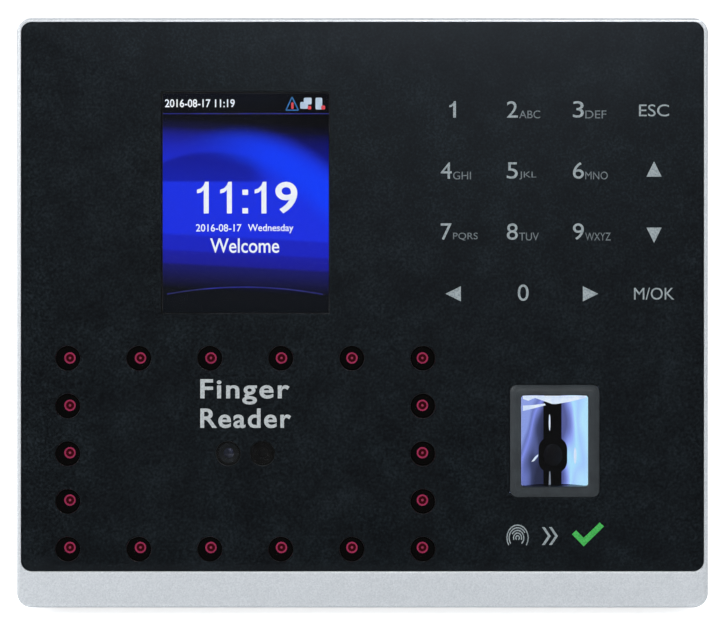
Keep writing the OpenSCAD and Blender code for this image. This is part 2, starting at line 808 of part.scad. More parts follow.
module lock_screw() {
    color("#707378") translate([0, screw_y, 0]) difference() {
        union() {
            translate([0, 0, plate_z0 - lock_head]) cylinder(h = lock_head, r = 2 * lock_r);
            translate([0, 0, plate_z0 - 1]) cylinder(h = 8.4, r = lock_r);
        }
        translate([0, 0, plate_z0 - lock_head - 0.8]) cylinder(h = lock_head, r = 1.4, $fn = 6);
    }
}

front_bezel();
front_panel();
rear_housing();
back_panel();
cable_bay();
case_screws();
lcd_window();
lcd_gasket();
lcd_glass();
lcd_backlight();
lcd_frame();
touch_key_board();
touch_electrodes();
key_controller();
lamp_filters();
lamp_sleeves();
infrared_leds();
lamp_board();
camera_windows();
colour_camera();
infrared_camera();
camera_lenses();
camera_board();
sensor_frame();
finger_prism();
sensor_housing();
sensor_light_strips();
sensor_lens();
sensor_lens_holder();
sensor_board();
carrier_plate();
board_standoffs();
main_board();
board_screws();
processor();
heat_spreader();
memory_chips();
board_capacitors();
door_relay();
coin_cell_holder();
coin_cell();
speaker();
speaker_gasket();
connector_board();
ethernet_jack();
power_jack();
terminal_blocks();
reset_switch();
reset_button();
usb_board();
usb_socket();
usb_cover();
tamper_switch();
tamper_spring();
tamper_plunger();
display_cable();
sensor_cable();
connector_cable();
wall_plate();
lock_screw();
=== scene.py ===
import math

import bmesh
import bpy
from mathutils import Matrix, Vector


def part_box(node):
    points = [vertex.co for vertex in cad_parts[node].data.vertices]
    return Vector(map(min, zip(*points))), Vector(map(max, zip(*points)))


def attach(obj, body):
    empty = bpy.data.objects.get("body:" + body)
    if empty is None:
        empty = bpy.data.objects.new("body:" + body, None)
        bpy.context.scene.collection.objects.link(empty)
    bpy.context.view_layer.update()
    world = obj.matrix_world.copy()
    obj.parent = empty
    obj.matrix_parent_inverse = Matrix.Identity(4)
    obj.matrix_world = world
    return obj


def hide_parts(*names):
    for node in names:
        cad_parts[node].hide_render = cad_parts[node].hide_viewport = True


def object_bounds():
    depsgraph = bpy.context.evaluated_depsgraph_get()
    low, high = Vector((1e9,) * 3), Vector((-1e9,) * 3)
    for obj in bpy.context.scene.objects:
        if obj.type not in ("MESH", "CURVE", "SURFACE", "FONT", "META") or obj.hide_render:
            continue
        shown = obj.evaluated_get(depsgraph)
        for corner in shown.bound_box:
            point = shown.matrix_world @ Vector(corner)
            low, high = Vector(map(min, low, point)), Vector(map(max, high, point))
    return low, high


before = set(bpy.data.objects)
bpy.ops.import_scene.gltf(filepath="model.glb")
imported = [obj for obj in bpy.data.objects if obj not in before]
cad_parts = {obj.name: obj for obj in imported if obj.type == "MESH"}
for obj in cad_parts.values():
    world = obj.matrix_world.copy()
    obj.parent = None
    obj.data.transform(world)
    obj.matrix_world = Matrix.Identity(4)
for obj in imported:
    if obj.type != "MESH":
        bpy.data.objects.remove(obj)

# Looks of the fingerprint terminal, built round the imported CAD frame.
# Shapes are drawn in millimetres, most of them in face coordinates: across, up the face, and out of it.
CAD_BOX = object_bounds()
MM = 0.001
LEAN = math.radians(12)           # lean of the face back from upright
FACE_HEIGHT = 0.1652
SLAB = 0.018                      # thickness of the front slab
WELD = 1e-6                       # distance at which doubled vertices merge, in metres
SHARP = math.radians(40)          # edges that bend more than this are corners, to be rounded
CREASE = math.radians(30)         # edges that bend more than this stay crisp to the eye
PRINT = 0.03                      # thickness of printed ink
TOUCHING = 1e-4                   # vertices closer than this, in millimetres, are one
FONT_TOUCHING = 1e-5              # the same for letters before they are scaled

bezel_low, bezel_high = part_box("front_bezel")
FOOT = Vector((0, bezel_high.y - FACE_HEIGHT * math.sin(LEAN) - SLAB * math.cos(LEAN),
               bezel_low.z + SLAB * math.sin(LEAN)))
ROOM = Matrix.Scale(MM, 4)
FACE = Matrix.Translation(FOOT) @ Matrix.Rotation(math.pi / 2 - LEAN, 4, "X") @ ROOM


# ---------------------------------------------------------------- where things are

def lowest_highest(spots):
    """The lowest and the highest corner of the box round some spots."""
    return (Vector([min(s[i] for s in spots) for i in range(3)]),
            Vector([max(s[i] for s in spots) for i in range(3)]))


def welded(node, space=FACE):
    """A copy of a CAD node's mesh with its doubled vertices merged, in millimetres of that space."""
    shape = bmesh.new()
    shape.from_mesh(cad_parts[node].data)
    bmesh.ops.remove_doubles(shape, verts=shape.verts, dist=WELD)
    bmesh.ops.transform(shape, matrix=space.inverted(), verts=shape.verts)
    return shape


def solids(node, space=FACE):
    """The lowest and highest corner of each separate solid of a CAD node, from the bottom up."""
    shape = welded(node, space)
    left, found = set(shape.verts), []
    while left:
        grow, island = [left.pop()], []
        while grow:
            vert = grow.pop()
            island.append(vert.co.copy())
            for edge in vert.link_edges:
                other = edge.other_vert(vert)
                if other in left:
                    left.remove(other)
                    grow.append(other)
        found.append(lowest_highest(island))
    shape.free()
    return sorted(found, key=lambda b: (round(b[0].y, 1), round(b[0].x, 1), round(b[0].z, 1)))


def extent(node, space=FACE):
    """The lowest and the highest corner of a whole CAD node."""
    boxes = solids(node, space)
    return lowest_highest([corner for box in boxes for corner in box])


def middle(box):
    """The middle between two corners."""
    return (box[0] + box[1]) / 2


# ---------------------------------------------------------------- materials

def rgb(code):
    """Linear colour of an sRGB hex value."""
    parts = [int(code[i:i + 2], 16) / 255 for i in (0, 2, 4)]
    return (*[p / 12.92 if p <= 0.04045 else ((p + 0.055) / 1.055) ** 2.4 for p in parts], 1.0)


def add(tree, kind, inputs=None, **settings):
    """Adds one node with its settings. Each input is a value, or another node's output to link."""
    node = tree.nodes.new("ShaderNode" + kind)
    for name, value in settings.items():
        setattr(node, name, value)
    for name, value in (inputs or {}).items():
        if isinstance(value, bpy.types.NodeSocket):
            tree.links.new(value, node.inputs[name])
        else:
            node.inputs[name].default_value = value
    return node


def finish(name, colour, roughness, **sockets):
    """A new material: returns it with its tree and its shader, whose steady values sit on its own sockets."""
    material = bpy.data.materials.new(name)
    material.use_nodes = True
    tree = material.node_tree
    tree.nodes.clear()
    named = {key.replace("_", " ").title().replace("Ior", "IOR"): value for key, value in sockets.items()}
    shader = add(tree, "BsdfPrincipled", {"Base Color": rgb(colour), "Roughness": roughness, **named})
    add(tree, "OutputMaterial", {"Surface": shader.outputs[0]})
    return material, tree, shader


def placed(tree, stretch=(1, 1, 1), turn=(0, 0, 0)):
    """Object coordinates, turned and then stretched."""
    spot = add(tree, "TexCoord").outputs["Object"]
    return add(tree, "Mapping", {"Vector": spot, "Rotation": turn, "Scale": stretch}).outputs[0]


def blotches(tree, size, detail=2.0, **where):
    """Cloudy noise whose blotches are about size mm across."""
    return add(tree, "TexNoise", {"Vector": placed(tree, **where), "Scale": 1 / (size * MM),
                                  "Detail": detail}).outputs[0]


def cells(tree, size, feature="F1", output="Distance", **where):
    """Cells about size mm across, such as crystals or pores."""
    return add(tree, "TexVoronoi", {"Vector": placed(tree, **where), "Scale": 1 / (size * MM)},
               feature=feature).outputs[output]


def ramp(tree, factor, stops):
    """A colour that follows factor through stops of (place, hex colour)."""
    bands = add(tree, "ValToRGB", {"Fac": factor})
    points = bands.color_ramp.elements
    while len(points) < len(stops):
        points.new(0.5)
    for point, (place, code) in zip(points, stops):
        point.position, point.color = place, rgb(code)
    return bands.outputs[0]


def tinted(tree, shader, factor, stops, socket="Base Color"):
    """Gives a shader's socket a colour that follows factor through stops."""
    tree.links.new(ramp(tree, factor, stops), shader.inputs[socket])


def glossed(tree, shader, factor, low, high):
    """Roughness wanders between two values."""
    span = add(tree, "MapRange", {"Value": factor, "From Min": 0.3, "From Max": 0.7,
                                  "To Min": low, "To Max": high})
    tree.links.new(span.outputs[0], shader.inputs["Roughness"])


def raised(tree, shader, factor, height):
    """Bumps height mm tall."""
    bump = add(tree, "Bump", {"Height": factor, "Distance": height * MM})
    tree.links.new(bump.outputs[0], shader.inputs["Normal"])


FINISH = {}


def moulded(slot, name, low, high, rough, grain, depth, **sockets):
    """Moulded plastic: colour clouds, a spark-eroded grain of that size in mm, and gloss that wanders."""
    material, tree, shader = finish(name, high, rough, **sockets)
    tinted(tree, shader, blotches(tree, grain * 9), [(0.35, low), (0.65, high)])
    fine = blotches(tree, grain, detail=3.0)
    glossed(tree, shader, fine, rough - 0.06, rough + 0.08)
    raised(tree, shader, fine, depth)
    FINISH[slot] = material
    return material


def metal(slot, name, low, high, rough, grain, stretch=(1, 1, 1), depth=0.004, **sockets):
    """Bare or plated metal, its grain drawn out along the way that it was rolled or brushed."""
    material, tree, shader = finish(name, high, rough, metallic=1.0, **sockets)
    streaks = blotches(tree, grain, detail=4.0, stretch=stretch)
    tinted(tree, shader, streaks, [(0.3, low), (0.7, high)])
    glossed(tree, shader, streaks, rough - 0.06, rough + 0.1)
    raised(tree, shader, streaks, depth)
    FINISH[slot] = material
    return material


# Silver paint on moulded ABS: the flake gives a pale, satin, slightly sparkling skin. Real flake is finer than
# 0.1 mm. It is drawn at 0.35 mm so that it shows.
silver, tree, shader = finish("silver_paint_on_abs", "D8DDE2", 0.36, metallic=0.2, coat_weight=0.25,
                              coat_roughness=0.25)
flake = cells(tree, 0.35, output="Color")
flake_grey = add(tree, "RGBToBW", {"Color": flake}).outputs[0]
tinted(tree, shader, flake_grey, [(0.0, "C8CED4"), (1.0, "DEE3E8")])
glossed(tree, shader, blotches(tree, 6.0), 0.32, 0.4)
raised(tree, shader, flake_grey, 0.002)
FINISH["silver_paint"] = silver

# Matt hard-coated polycarbonate: almost black, with a fine speckled texture and faint blue-green clouds.
panel, tree, shader = finish("matt_coated_polycarbonate", "101417", 0.36, specular_ior_level=0.17,
                             specular_tint=rgb("DCEAFC"))
speck = blotches(tree, 0.65, detail=3.0)
cloud = blotches(tree, 9.0, detail=3.0)
mixture = add(tree, "Mix", {"Factor": 0.35, "A": speck, "B": cloud}).outputs[0]
tinted(tree, shader, mixture, [(0.36, "040506"), (0.46, "080B0D"), (0.54, "0D1214"), (0.66, "181E22")])
glossed(tree, shader, speck, 0.31, 0.41)
raised(tree, shader, speck, 0.008)
FINISH["black_panel"] = panel

# ABS with a spark-eroded grain: a soft, slightly grey black that scatters highlights.
moulded("black_case", "spark_grained_abs", "17181A", "1F2022", 0.52, 0.5, 0.03)
# Black-oxide steel: dark, oily sheen with worn bright specks.
metal("dark_screw", "black_oxide_steel", "2A2B2D", "4A4C4F", 0.34, 0.6)
# Clear acrylic with an anti-glare skin: the picture behind stays sharp and reflections turn soft.
lens, tree, shader = finish("anti_glare_acrylic", "F6F9FC", 0.04, transmission_weight=1.0, ior=1.49,
                            specular_ior_level=0.2)
glossed(tree, shader, blotches(tree, 3.0), 0.02, 0.05)
FINISH["window_lens"] = lens
# Polyurethane foam: open pores, no shine.
foam, tree, shader = finish("polyurethane_foam", "1B1C1D", 0.95, sheen_weight=0.2)
pores = cells(tree, 0.8)
tinted(tree, shader, pores, [(0.1, "0C0C0D"), (0.6, "242526")])
raised(tree, shader, pores, 0.15)
FINISH["foam"] = foam
# Polariser on glass: a black mirror when the picture is off.
moulded("display", "polariser_film_on_glass", "030405", "06070A", 0.18, 2.0, 0.001, coat_weight=0.3)
# Pearl diffuser film over the light guide: milky white.
moulded("white_diffuser", "pearl_diffuser_film", "E4E8EA", "F4F6F7", 0.5, 0.4, 0.004)
# Tin-plated steel: pale grey with soft streaks from the rolling mill.
metal("tinned_steel", "tin_plated_steel", "A9ACAC", "CDD0CF", 0.26, 1.2, stretch=(1, 5, 1))


def board_finish():
    """Solder mask over copper tracks on FR4: bottle green, tracks a little lighter and raised."""
    material, tree, shader = finish("green_solder_mask_on_fr4", "0F4A2B", 0.34, coat_weight=0.4)
    tracks = add(tree, "TexVoronoi", {"Vector": placed(tree), "Scale": 1 / (2.4 * MM)},
                 feature="F1", distance="CHEBYCHEV").outputs["Distance"]
    tinted(tree, shader, tracks, [(0.1, "2C7A48"), (0.16, "0C4226"), (0.42, "0F4D2C"), (0.47, "2A7445")])
    raised(tree, shader, tracks, 0.03)
    return material


FINISH["circuit_board"] = board_finish()
# Gold-flashed copper pads: warm, bright, a little uneven.
metal("copper", "gold_flashed_copper", "B06A33", "D79B5A", 0.28, 0.8)
# Black epoxy of moulded chips: dull grey-black with a fine pitted skin.
moulded("chip", "moulded_chip_epoxy", "17181A", "232527", 0.5, 0.25, 0.01)
# Infrared-pass acrylic: black from outside, but the lamp behind it still glows through, wine red.
smoke, tree, shader = finish("infrared_pass_acrylic", "64434A", 0.05, transmission_weight=1.0, ior=1.49,
                             specular_ior_level=0.1)
tinted(tree, shader, blotches(tree, 2.0), [(0.3, "5E3F46"), (0.7, "6A484F")])
FINISH["smoked_filter"] = smoke
# Black nylon sleeve: dead matt so that no stray light reaches the cameras.
moulded("sleeve_black", "matt_black_nylon", "020202", "050506", 0.9, 0.4, 0.02, specular_ior_level=0.03)
# Clear epoxy of the lamps, tinted faintly pink with painted light from the die behind.
moulded("led_resin", "clear_lamp_epoxy", "8D6B73", "A07A83", 0.15, 1.0, 0.002, transmission_weight=0.6,
        ior=1.54)
# Black anodised barrel with a turned, finely ribbed surface.
moulded("camera_black", "black_anodised_barrel", "050506", "09090B", 0.5, 0.3, 0.008, specular_ior_level=0.2)
# Coated glass: dark, with a blue-violet cast where it catches light.
coated, tree, shader = finish("coated_camera_glass", "1A2030", 0.06, ior=1.6, coat_weight=1.0,
                              coat_tint=rgb("6F86FF"))
tinted(tree, shader, blotches(tree, 1.5), [(0.3, "141A26"), (0.7, "262E44")])
FINISH["lens_glass"] = coated
# Satin grey ABS of the finger rest: lighter than the panel, worn smooth on top.
moulded("sensor_grey", "satin_grey_abs", "2A2F33", "32383C", 0.46, 0.45, 0.008, specular_ior_level=0.25)
# Optical glass with a faint blue cast.
clear, tree, shader = finish("optical_crown_glass", "EDF3FF", 0.01, transmission_weight=1.0, ior=1.52)
tinted(tree, shader, blotches(tree, 8.0), [(0.3, "E8F0FF"), (0.7, "F4F8FF")])
FINISH["prism_glass"] = clear
# Phosphor strip under a diffuser: even blue-white light.
strip, tree, shader = finish("blue_white_light_strip", "DDE6FF", 0.4, emission_strength=1.4)
tinted(tree, shader, blotches(tree, 3.0), [(0.3, "9FB2FF"), (0.7, "C9D8FF")], socket="Emission Color")
FINISH["light_strip"] = strip


def zinc_finish():
    """Zinc-plated sheet: pale grey with faint crystals 6 mm across and rolling streaks."""
    material, tree, shader = finish("zinc_plated_steel", "A7ABAF", 0.34, metallic=1.0)
    crystal = add(tree, "RGBToBW", {"Color": cells(tree, 6.0, output="Color")}).outputs[0]
    tinted(tree, shader, crystal, [(0.1, "9EA2A7"), (0.9, "B0B4B8")])
    glossed(tree, shader, crystal, 0.33, 0.41)
    raised(tree, shader, blotches(tree, 0.5, stretch=(0.1, 1, 1)), 0.006)
    return material


FINISH["zinc_steel"] = zinc_finish()
# Turned brass: warm yellow with fine rings.
metal("brass_post", "turned_brass", "A8823A", "CBA35A", 0.25, 0.5)
# Nickel-plated screw: bright and slightly warm.
metal("bright_screw", "nickel_plated_steel", "A8A7A2", "CFCDC7", 0.22, 0.5)
# Extruded aluminium, clear anodised: soft grey with drawn lines.
metal("heat_sink", "anodised_aluminium", "7F8387", "9DA1A5", 0.36, 0.6, stretch=(1, 8, 1))
# Heat-shrunk polyester sleeve: dark blue gloss.
moulded("capacitor_sleeve", "shrunk_polyester_sleeve", "101A3A", "16224A", 0.22, 1.0, 0.004)
# Thermoplastic relay case: clean mid blue.
moulded("relay_blue", "relay_case_polyester", "1C4C8C", "2458A0", 0.35, 0.8, 0.006)
# Nickel-plated cell can: mirror-like with handling haze.
metal("cell_steel", "nickel_plated_cell_can", "B5B5B0", "D6D6D2", 0.18, 2.0)
# Coated paper cone and its pressed frame: charcoal with fibres.
moulded("speaker_black", "coated_paper_cone", "141415", "262627", 0.7, 0.9, 0.05)
# Terminal green polyamide: flat mid green.
moulded("terminal_green", "terminal_polyamide", "1E7A46", "279256", 0.42, 0.6, 0.01)
# Light grey polyamide of the small buttons.
moulded("button_grey", "light_grey_polyamide", "BFC1C2", "D0D2D3", 0.4, 0.6, 0.01)
# Moulded rubber: soft black with a dusty sheen.
moulded("rubber_black", "moulded_rubber", "161617", "1E1E1F", 0.68, 0.7, 0.02, sheen_weight=0.3)
# Music-wire spring: hard bright steel.
metal("spring_steel", "spring_wire", "9A9B9C", "C4C5C5", 0.24, 0.4)


def ribbon_finish():
    """Flat polyimide cable: amber film over parallel copper lines 1 mm apart."""
    material, tree, shader = finish("polyimide_ribbon", "B5761F", 0.3, coat_weight=0.5)
    lines = add(tree, "TexWave", {"Vector": placed(tree), "Scale": 1 / (6.3 * MM)},
                bands_direction="X").outputs["Fac"]
    tinted(tree, shader, lines, [(0.3, "8A4F10"), (0.7, "C98A2E")])
    raised(tree, shader, lines, 0.03)
    return material


FINISH["ribbon"] = ribbon_finish()


def glow(name, low, high, size, strength=1.0):
    """A lit surface, whose light is a little uneven."""
    material, tree, shader = finish(name, "050505", 0.5, emission_strength=strength)
    tinted(tree, shader, blotches(tree, size), [(0.35, low), (0.65, high)], socket="Emission Color")
    return material


def ink(name, low, high):
    """Screen-printed ink: flat, slightly chalky, thinner in places."""
    material, tree, shader = finish(name, high, 0.55, specular_ior_level=0.3)
    thin = blotches(tree, 0.5, detail=3.0)
    tinted(tree, shader, thin, [(0.35, low), (0.6, high)])
    raised(tree, shader, thin, 0.004)
    return material


def eased(tree, value, start, stop):
    """Goes smoothly from 0 to 1 as a value goes from start to stop."""
    return add(tree, "MapRange", {"Value": value, "From Min": start, "From Max": stop},
               interpolation_type="SMOOTHSTEP").outputs[0]


def worked(tree, operation, first, second):
    """A sum on two values, such as ADD or MULTIPLY."""
    return add(tree, "Math", {0: first, 1: second}, operation=operation).outputs[0]


def picture_finish():
    """The wallpaper on the display: blue bands that run to navy and black, and a bright veil that dips."""
    material, tree, shader = finish("liquid_crystal_picture", "010101", 0.6, emission_strength=1.0,
                                    specular_ior_level=0.02)
    split = add(tree, "SeparateXYZ", {"Vector": add(tree, "UVMap", uv_map="across_up").outputs[0]})
    across, up = split.outputs["X"], split.outputs["Y"]
    level = worked(tree, "ADD", up, worked(tree, "MULTIPLY", across, 0.04))
    colour = ramp(tree, level, [
        (0.0, "050A10"), (0.12, "070A12"), (0.16, "12123E"), (0.225, "171868"), (0.235, "1A1B96"),
        (0.285, "1A1EA8"), (0.295, "1A24C4"), (0.355, "1A26C8"), (0.37, "1A30E8"), (0.6, "1A32EA"),
        (0.76, "1A24BC"), (0.815, "181C8C"), (0.85, "10113C"), (0.885, "080914"), (0.93, "06080E"),
        (1.0, "080C16")])
    # The veil follows a curve that falls as it goes right, and widens on the way. The bands are dimmer under
    # its left part and over its right part.
    along = worked(tree, "SUBTRACT", across, 0.31)
    curve = worked(tree, "MULTIPLY", worked(tree, "MULTIPLY", along, along), 0.5)
    above = worked(tree, "ADD", worked(tree, "SUBTRACT", up, 0.766), curve)
    width = worked(tree, "ADD", worked(tree, "MULTIPLY", across, 0.13), 0.035)
    ratio = worked(tree, "DIVIDE", worked(tree, "ABSOLUTE", above, 0.0), width)
    veil = worked(tree, "MULTIPLY", eased(tree, ratio, 1.1, 0.15), eased(tree, across, 0.05, 0.75))
    under = worked(tree, "MULTIPLY", eased(tree, above, -0.02, -0.05), eased(tree, up, 0.59, 0.605))
    dim_left = worked(tree, "MULTIPLY", under, eased(tree, across, 0.68, 0.5))
    dim_right = worked(tree, "MULTIPLY", eased(tree, above, 0.07, 0.17), eased(tree, across, 0.5, 0.85))
    share, first, second, result = 0, 6, 7, 2    # where a Mix node keeps its colour sockets
    for factor, code, blend in [(dim_left, "C0B0C2", "MULTIPLY"), (dim_right, "8C8CA8", "MULTIPLY"),
                                (veil, "0E3EFF", "MIX")]:
        mixed = add(tree, "Mix", {share: factor}, data_type="RGBA", blend_type=blend)
        tree.links.new(colour, mixed.inputs[first])
        mixed.inputs[second].default_value = rgb(code)
        colour = mixed.outputs[result]
    tree.links.new(colour, shader.inputs["Emission Color"])
    return material


def lit_wall_finish(name, stops, strength, rise=0.0):
    """A wall of the sensor's chamber lit by painted light, glowing though it is no lamp: brighter towards the
    window's edge, with soft columns of light.
    """
    material, tree, shader = finish(name, "08080C", 0.4, emission_strength=strength, specular_ior_level=0.1)
    spot = add(tree, "UVMap", uv_map="across_up").outputs[0]
    columns = add(tree, "Mapping", {"Vector": spot, "Scale": (1.6, 1.9, 1),
                                    "Location": (0.4, 0.15, 0)}).outputs[0]
    swirl = add(tree, "TexNoise", {"Vector": columns, "Scale": 1.0, "Detail": 0.5}).outputs[0]
    split = add(tree, "SeparateXYZ", {"Vector": spot})
    # painted light: with rise the wall grows brighter towards the top
    climb = worked(tree, "MULTIPLY", worked(tree, "SUBTRACT", split.outputs["Y"], 0.5), rise)
    wander = add(tree, "MapRange", {"Value": swirl, "From Min": 0.3, "From Max": 0.7,
                                    "To Min": -0.22, "To Max": 0.22}).outputs[0]
    level = worked(tree, "ADD", worked(tree, "ADD", split.outputs["X"], wander), climb)
    tinted(tree, shader, level, stops, socket="Emission Color")
    return material


WHITE_INK = ink("white_screen_ink", "9FA5A8", "B4BABD")
GREY_INK = ink("grey_screen_ink", "788388", "98A2A6")
DIM_INK = ink("dim_grey_screen_ink", "535B60", "6E777C")
GREEN_INK = ink("green_screen_ink", "2F9A3F", "46B455")
# The reflector cups and cup floors glow with painted light: the die's light that they reflect is painted in as
# their own glow.
RING_GLOW = glow("lamp_reflector_cup_painted_glow", "C45C90", "D8689E", 1.0, 3.6)
DIE_GLOW = glow("lamp_die", "E07EAE", "F08EBC", 1.0, 2.5)
FLOOR_GLOW = glow("lamp_cup_floor_painted_glow", "5C001C", "6A0022", 1.0, 2.2)
SCREEN_WHITE = glow("display_white", "F2F6FF", "FFFFFF", 4.0)
SCREEN_GREY = glow("display_grey", "B4C8DC", "C8D8E8", 2.0)
SCREEN_BLUE = glow("display_blue", "2868A8", "3C84C8", 2.0)
SCREEN_RED = glow("display_red", "D83C46", "F04A52", 2.0)
SCREEN_NAVY = glow("display_navy", "181C66", "24289A", 6.0)
# The chamber's glints are painted reflections that glow though they are no lamps.
GLINT = glow("chamber_glint", "DCEBFF", "F6FDFF", 2.0)
DIM_GLINT = glow("chamber_dim_glint", "5C6068", "8A9098", 2.0)

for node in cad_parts.values():
    for held in node.material_slots:
        held.material = FINISH[held.material.name.split(".")[0]]


# ---------------------------------------------------------------- making pieces

def piece(name, shape, material, body="terminal", space=FACE):
    """Makes a bmesh drawn in millimetres of a space into a piece of the object that rides on a body."""
    bmesh.ops.transform(shape, matrix=space, verts=shape.verts)
    mesh = bpy.data.meshes.new(name)
    shape.to_mesh(mesh)
    shape.free()
    if mesh.has_custom_normals:              # a CAD node's old ones would put creases in the wrong places
        mesh.attributes.remove(mesh.attributes["custom_normal"])
    mesh.shade_smooth()
    mesh.set_sharp_from_angle(angle=CREASE)
    mesh.materials.append(material)
    made = bpy.data.objects.new(name, mesh)
    bpy.context.scene.collection.objects.link(made)
    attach(made, body)
    return made


def refined(node, name, slot, rounds, body="terminal", space=FACE):
    """Stands for a CAD node: its own shape with edges rounded. rounds lists (radius in mm, test of an edge)."""
    shape = welded(node, space)
    for radius, test in rounds:
        corners = [e for e in shape.edges
                   if len(e.link_faces) == 2 and e.calc_face_angle() > SHARP and test(e)]
        bmesh.ops.bevel(shape, geom=corners, offset=radius, offset_type="OFFSET", affect="EDGES",
                        segments=2, profile=0.5, material=-1, clamp_overlap=False)
    made = piece(name, shape, FINISH[slot], body, space)
    flat = made.modifiers.new("flat_faces", "WEIGHTED_NORMAL")
    flat.keep_sharp = True
    flat.mode = "FACE_AREA_WITH_ANGLE"
    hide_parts(node)


def added(shape, before):
    """The vertices that a shape has gained."""
    return [v for v in shape.verts if v not in before]


def corners_of(geometry):
    """The vertices among what an operator gave back."""
    return [g for g in geometry if isinstance(g, bmesh.types.BMVert)]


def faces_of(verts):
    """The faces that touch some vertices."""
    return list({f for v in verts for f in v.link_faces})


def block(shape, low, high, ease=0.0):
    """Adds a block between two corners, its edges eased by a few hundredths to a few tenths of a mm."""
    before = set(shape.verts)
    made = bmesh.ops.create_cube(shape, size=1)["verts"]
    low, high = Vector(low), Vector(high)
    bmesh.ops.scale(shape, vec=high - low, verts=made)
    bmesh.ops.translate(shape, vec=(low + high) / 2, verts=made)
    if ease:
        edges = list({e for v in made for e in v.link_edges})
        bmesh.ops.bevel(shape, geom=edges, offset=ease, offset_type="OFFSET", affect="EDGES", segments=2,
                        profile=0.5, material=-1)
    return added(shape, before)


def turned(shape, profile, centre=(0, 0, 0), steps=40, closed=False, scale=(1, 1, 1)):
    """Adds an outline of (radius, height) turned about the outward axis."""
    before = set(shape.verts)
    path = [shape.verts.new((radius, 0, height)) for radius, height in profile]
    pairs = list(zip(path, path[1:])) + ([(path[-1], path[0])] if closed else [])
    edges = [shape.edges.new(pair) for pair in pairs]
    bmesh.ops.spin(shape, geom=path + edges, axis=(0, 0, 1), cent=(0, 0, 0), steps=steps,
                   angle=math.tau, use_merge=True, use_duplicate=False)
    bmesh.ops.remove_doubles(shape, verts=added(shape, before), dist=TOUCHING)
    made = added(shape, before)
    bmesh.ops.recalc_face_normals(shape, faces=faces_of(made))
    bmesh.ops.scale(shape, vec=scale, verts=made)
    bmesh.ops.translate(shape, vec=centre, verts=made)


def outlined(shape, points, low, high):
    """Adds a plate with that outline, from one height to another."""
    before = set(shape.verts)
    face = shape.faces.new([shape.verts.new((x, y, low)) for x, y in points])
    grown = bmesh.ops.extrude_face_region(shape, geom=[face])["geom"]
    bmesh.ops.translate(shape, vec=(0, 0, high - low), verts=corners_of(grown))
    bmesh.ops.recalc_face_normals(shape, faces=faces_of(added(shape, before)))


def shifted(points, centre):
    """An outline moved to a centre."""
    return [(centre.x + x, centre.y + y) for x, y in points]


def rectangle(left, bottom, right, top):
    """Outline of a rectangle."""
    return [(left, bottom), (right, bottom), (right, top), (left, top)]


def rounded(width, height, radius, steps=6):
    """Outline of a rectangle with round corners, about its middle."""
    points = []
    for turn, (sx, sy) in enumerate([(1, 1), (-1, 1), (-1, -1), (1, -1)]):
        for i in range(steps + 1):
            angle = math.pi / 2 * (turn + i / steps)
            points.append((sx * (width / 2 - radius) + radius * math.cos(angle),
                           sy * (height / 2 - radius) + radius * math.sin(angle)))
    return points


def figure_one(shape, low, high, height):
    """Adds a figure 1 with its flag, which the built-in letters lack."""
    points = [(0.58, 0.0), (1.0, 0.0), (1.0, 1.0), (0.7, 1.0), (0.56, 0.88), (0.32, 0.79), (0.0, 0.75),
              (0.0, 0.63), (0.34, 0.66), (0.58, 0.74)]
    outlined(shape, [(low[0] + x * (high[0] - low[0]), low[1] + y * (high[1] - low[1])) for x, y in points],
             height, height + PRINT)


def lettered(shape, words, low, high, height, spread=0.0, apart=1.0):
    """Adds words as a thin raised print that fills the box between two corners (across, up). spread makes
    the strokes bolder, apart spaces the letters."""
    curve = bpy.data.curves.new("letters", "FONT")
    curve.body = words
    curve.extrude = 0.5                      # any thickness will do, as the print is scaled to its own
    curve.resolution_u = 5
    curve.offset = spread
    curve.space_character = apart
    holder = bpy.data.objects.new("letters", curve)
    bpy.context.scene.collection.objects.link(holder)
    bpy.context.view_layer.update()
    mesh = bpy.data.meshes.new_from_object(holder.evaluated_get(bpy.context.evaluated_depsgraph_get()))
    bpy.data.objects.remove(holder)
    bpy.data.curves.remove(curve)
    before = set(shape.verts)
    shape.from_mesh(mesh)
    bpy.data.meshes.remove(mesh)
    made = added(shape, before)
    bmesh.ops.remove_doubles(shape, verts=made, dist=FONT_TOUCHING)
    made = added(shape, before)
    small, large = lowest_highest([v.co for v in made])
    grow = Vector(((high[0] - low[0]) / (large.x - small.x), (high[1] - low[1]) / (large.y - small.y),
                   PRINT / (large.z - small.z)))
    bmesh.ops.translate(shape, vec=-small, verts=made)
    bmesh.ops.scale(shape, vec=grow, verts=made)
    bmesh.ops.translate(shape, vec=(low[0], low[1], height), verts=made)


# ---------------------------------------------------------------- front frame and panel

panel_box = extent("front_panel")
PANEL_Z = panel_box[1].z                                   # front of the panel, just behind the frame's front
LIP = panel_box[0].y                                       # top of the silver lip
LIP_REACH, RIM = 0.3, 2.5                                  # how near counts as on the lip or the panel's rim


def at_front(edge, level, slack=0.02):
    """Whether an edge lies flat at a height out of the face."""
    return all(abs(v.co.z - level) < slack for v in edge.verts)


def on_lip(edge):
    """Whether an edge is the front one of the silver lip."""
    return at_front(edge, 0) and all(abs(v.co.y - LIP) < LIP_REACH for v in edge.verts)


def on_panel_rim(edge):
    """Whether an edge is the outer one of the panel, and not one of its holes."""
    low, high = panel_box
    return at_front(edge, PANEL_Z) and all(
        abs(v.co.x) > high.x - RIM or v.co.y < low.y + RIM or v.co.y > high.y - RIM for v in edge.verts)


refined("front_bezel", "painted_front_frame", "silver_paint",
        [(0.42, on_lip), (0.1, lambda e: at_front(e, 0) and not on_lip(e))])
refined("front_panel", "coated_front_panel", "black_panel",
        [(0.4, on_panel_rim), (0.14, lambda e: at_front(e, PANEL_Z) and not on_panel_rim(e))])

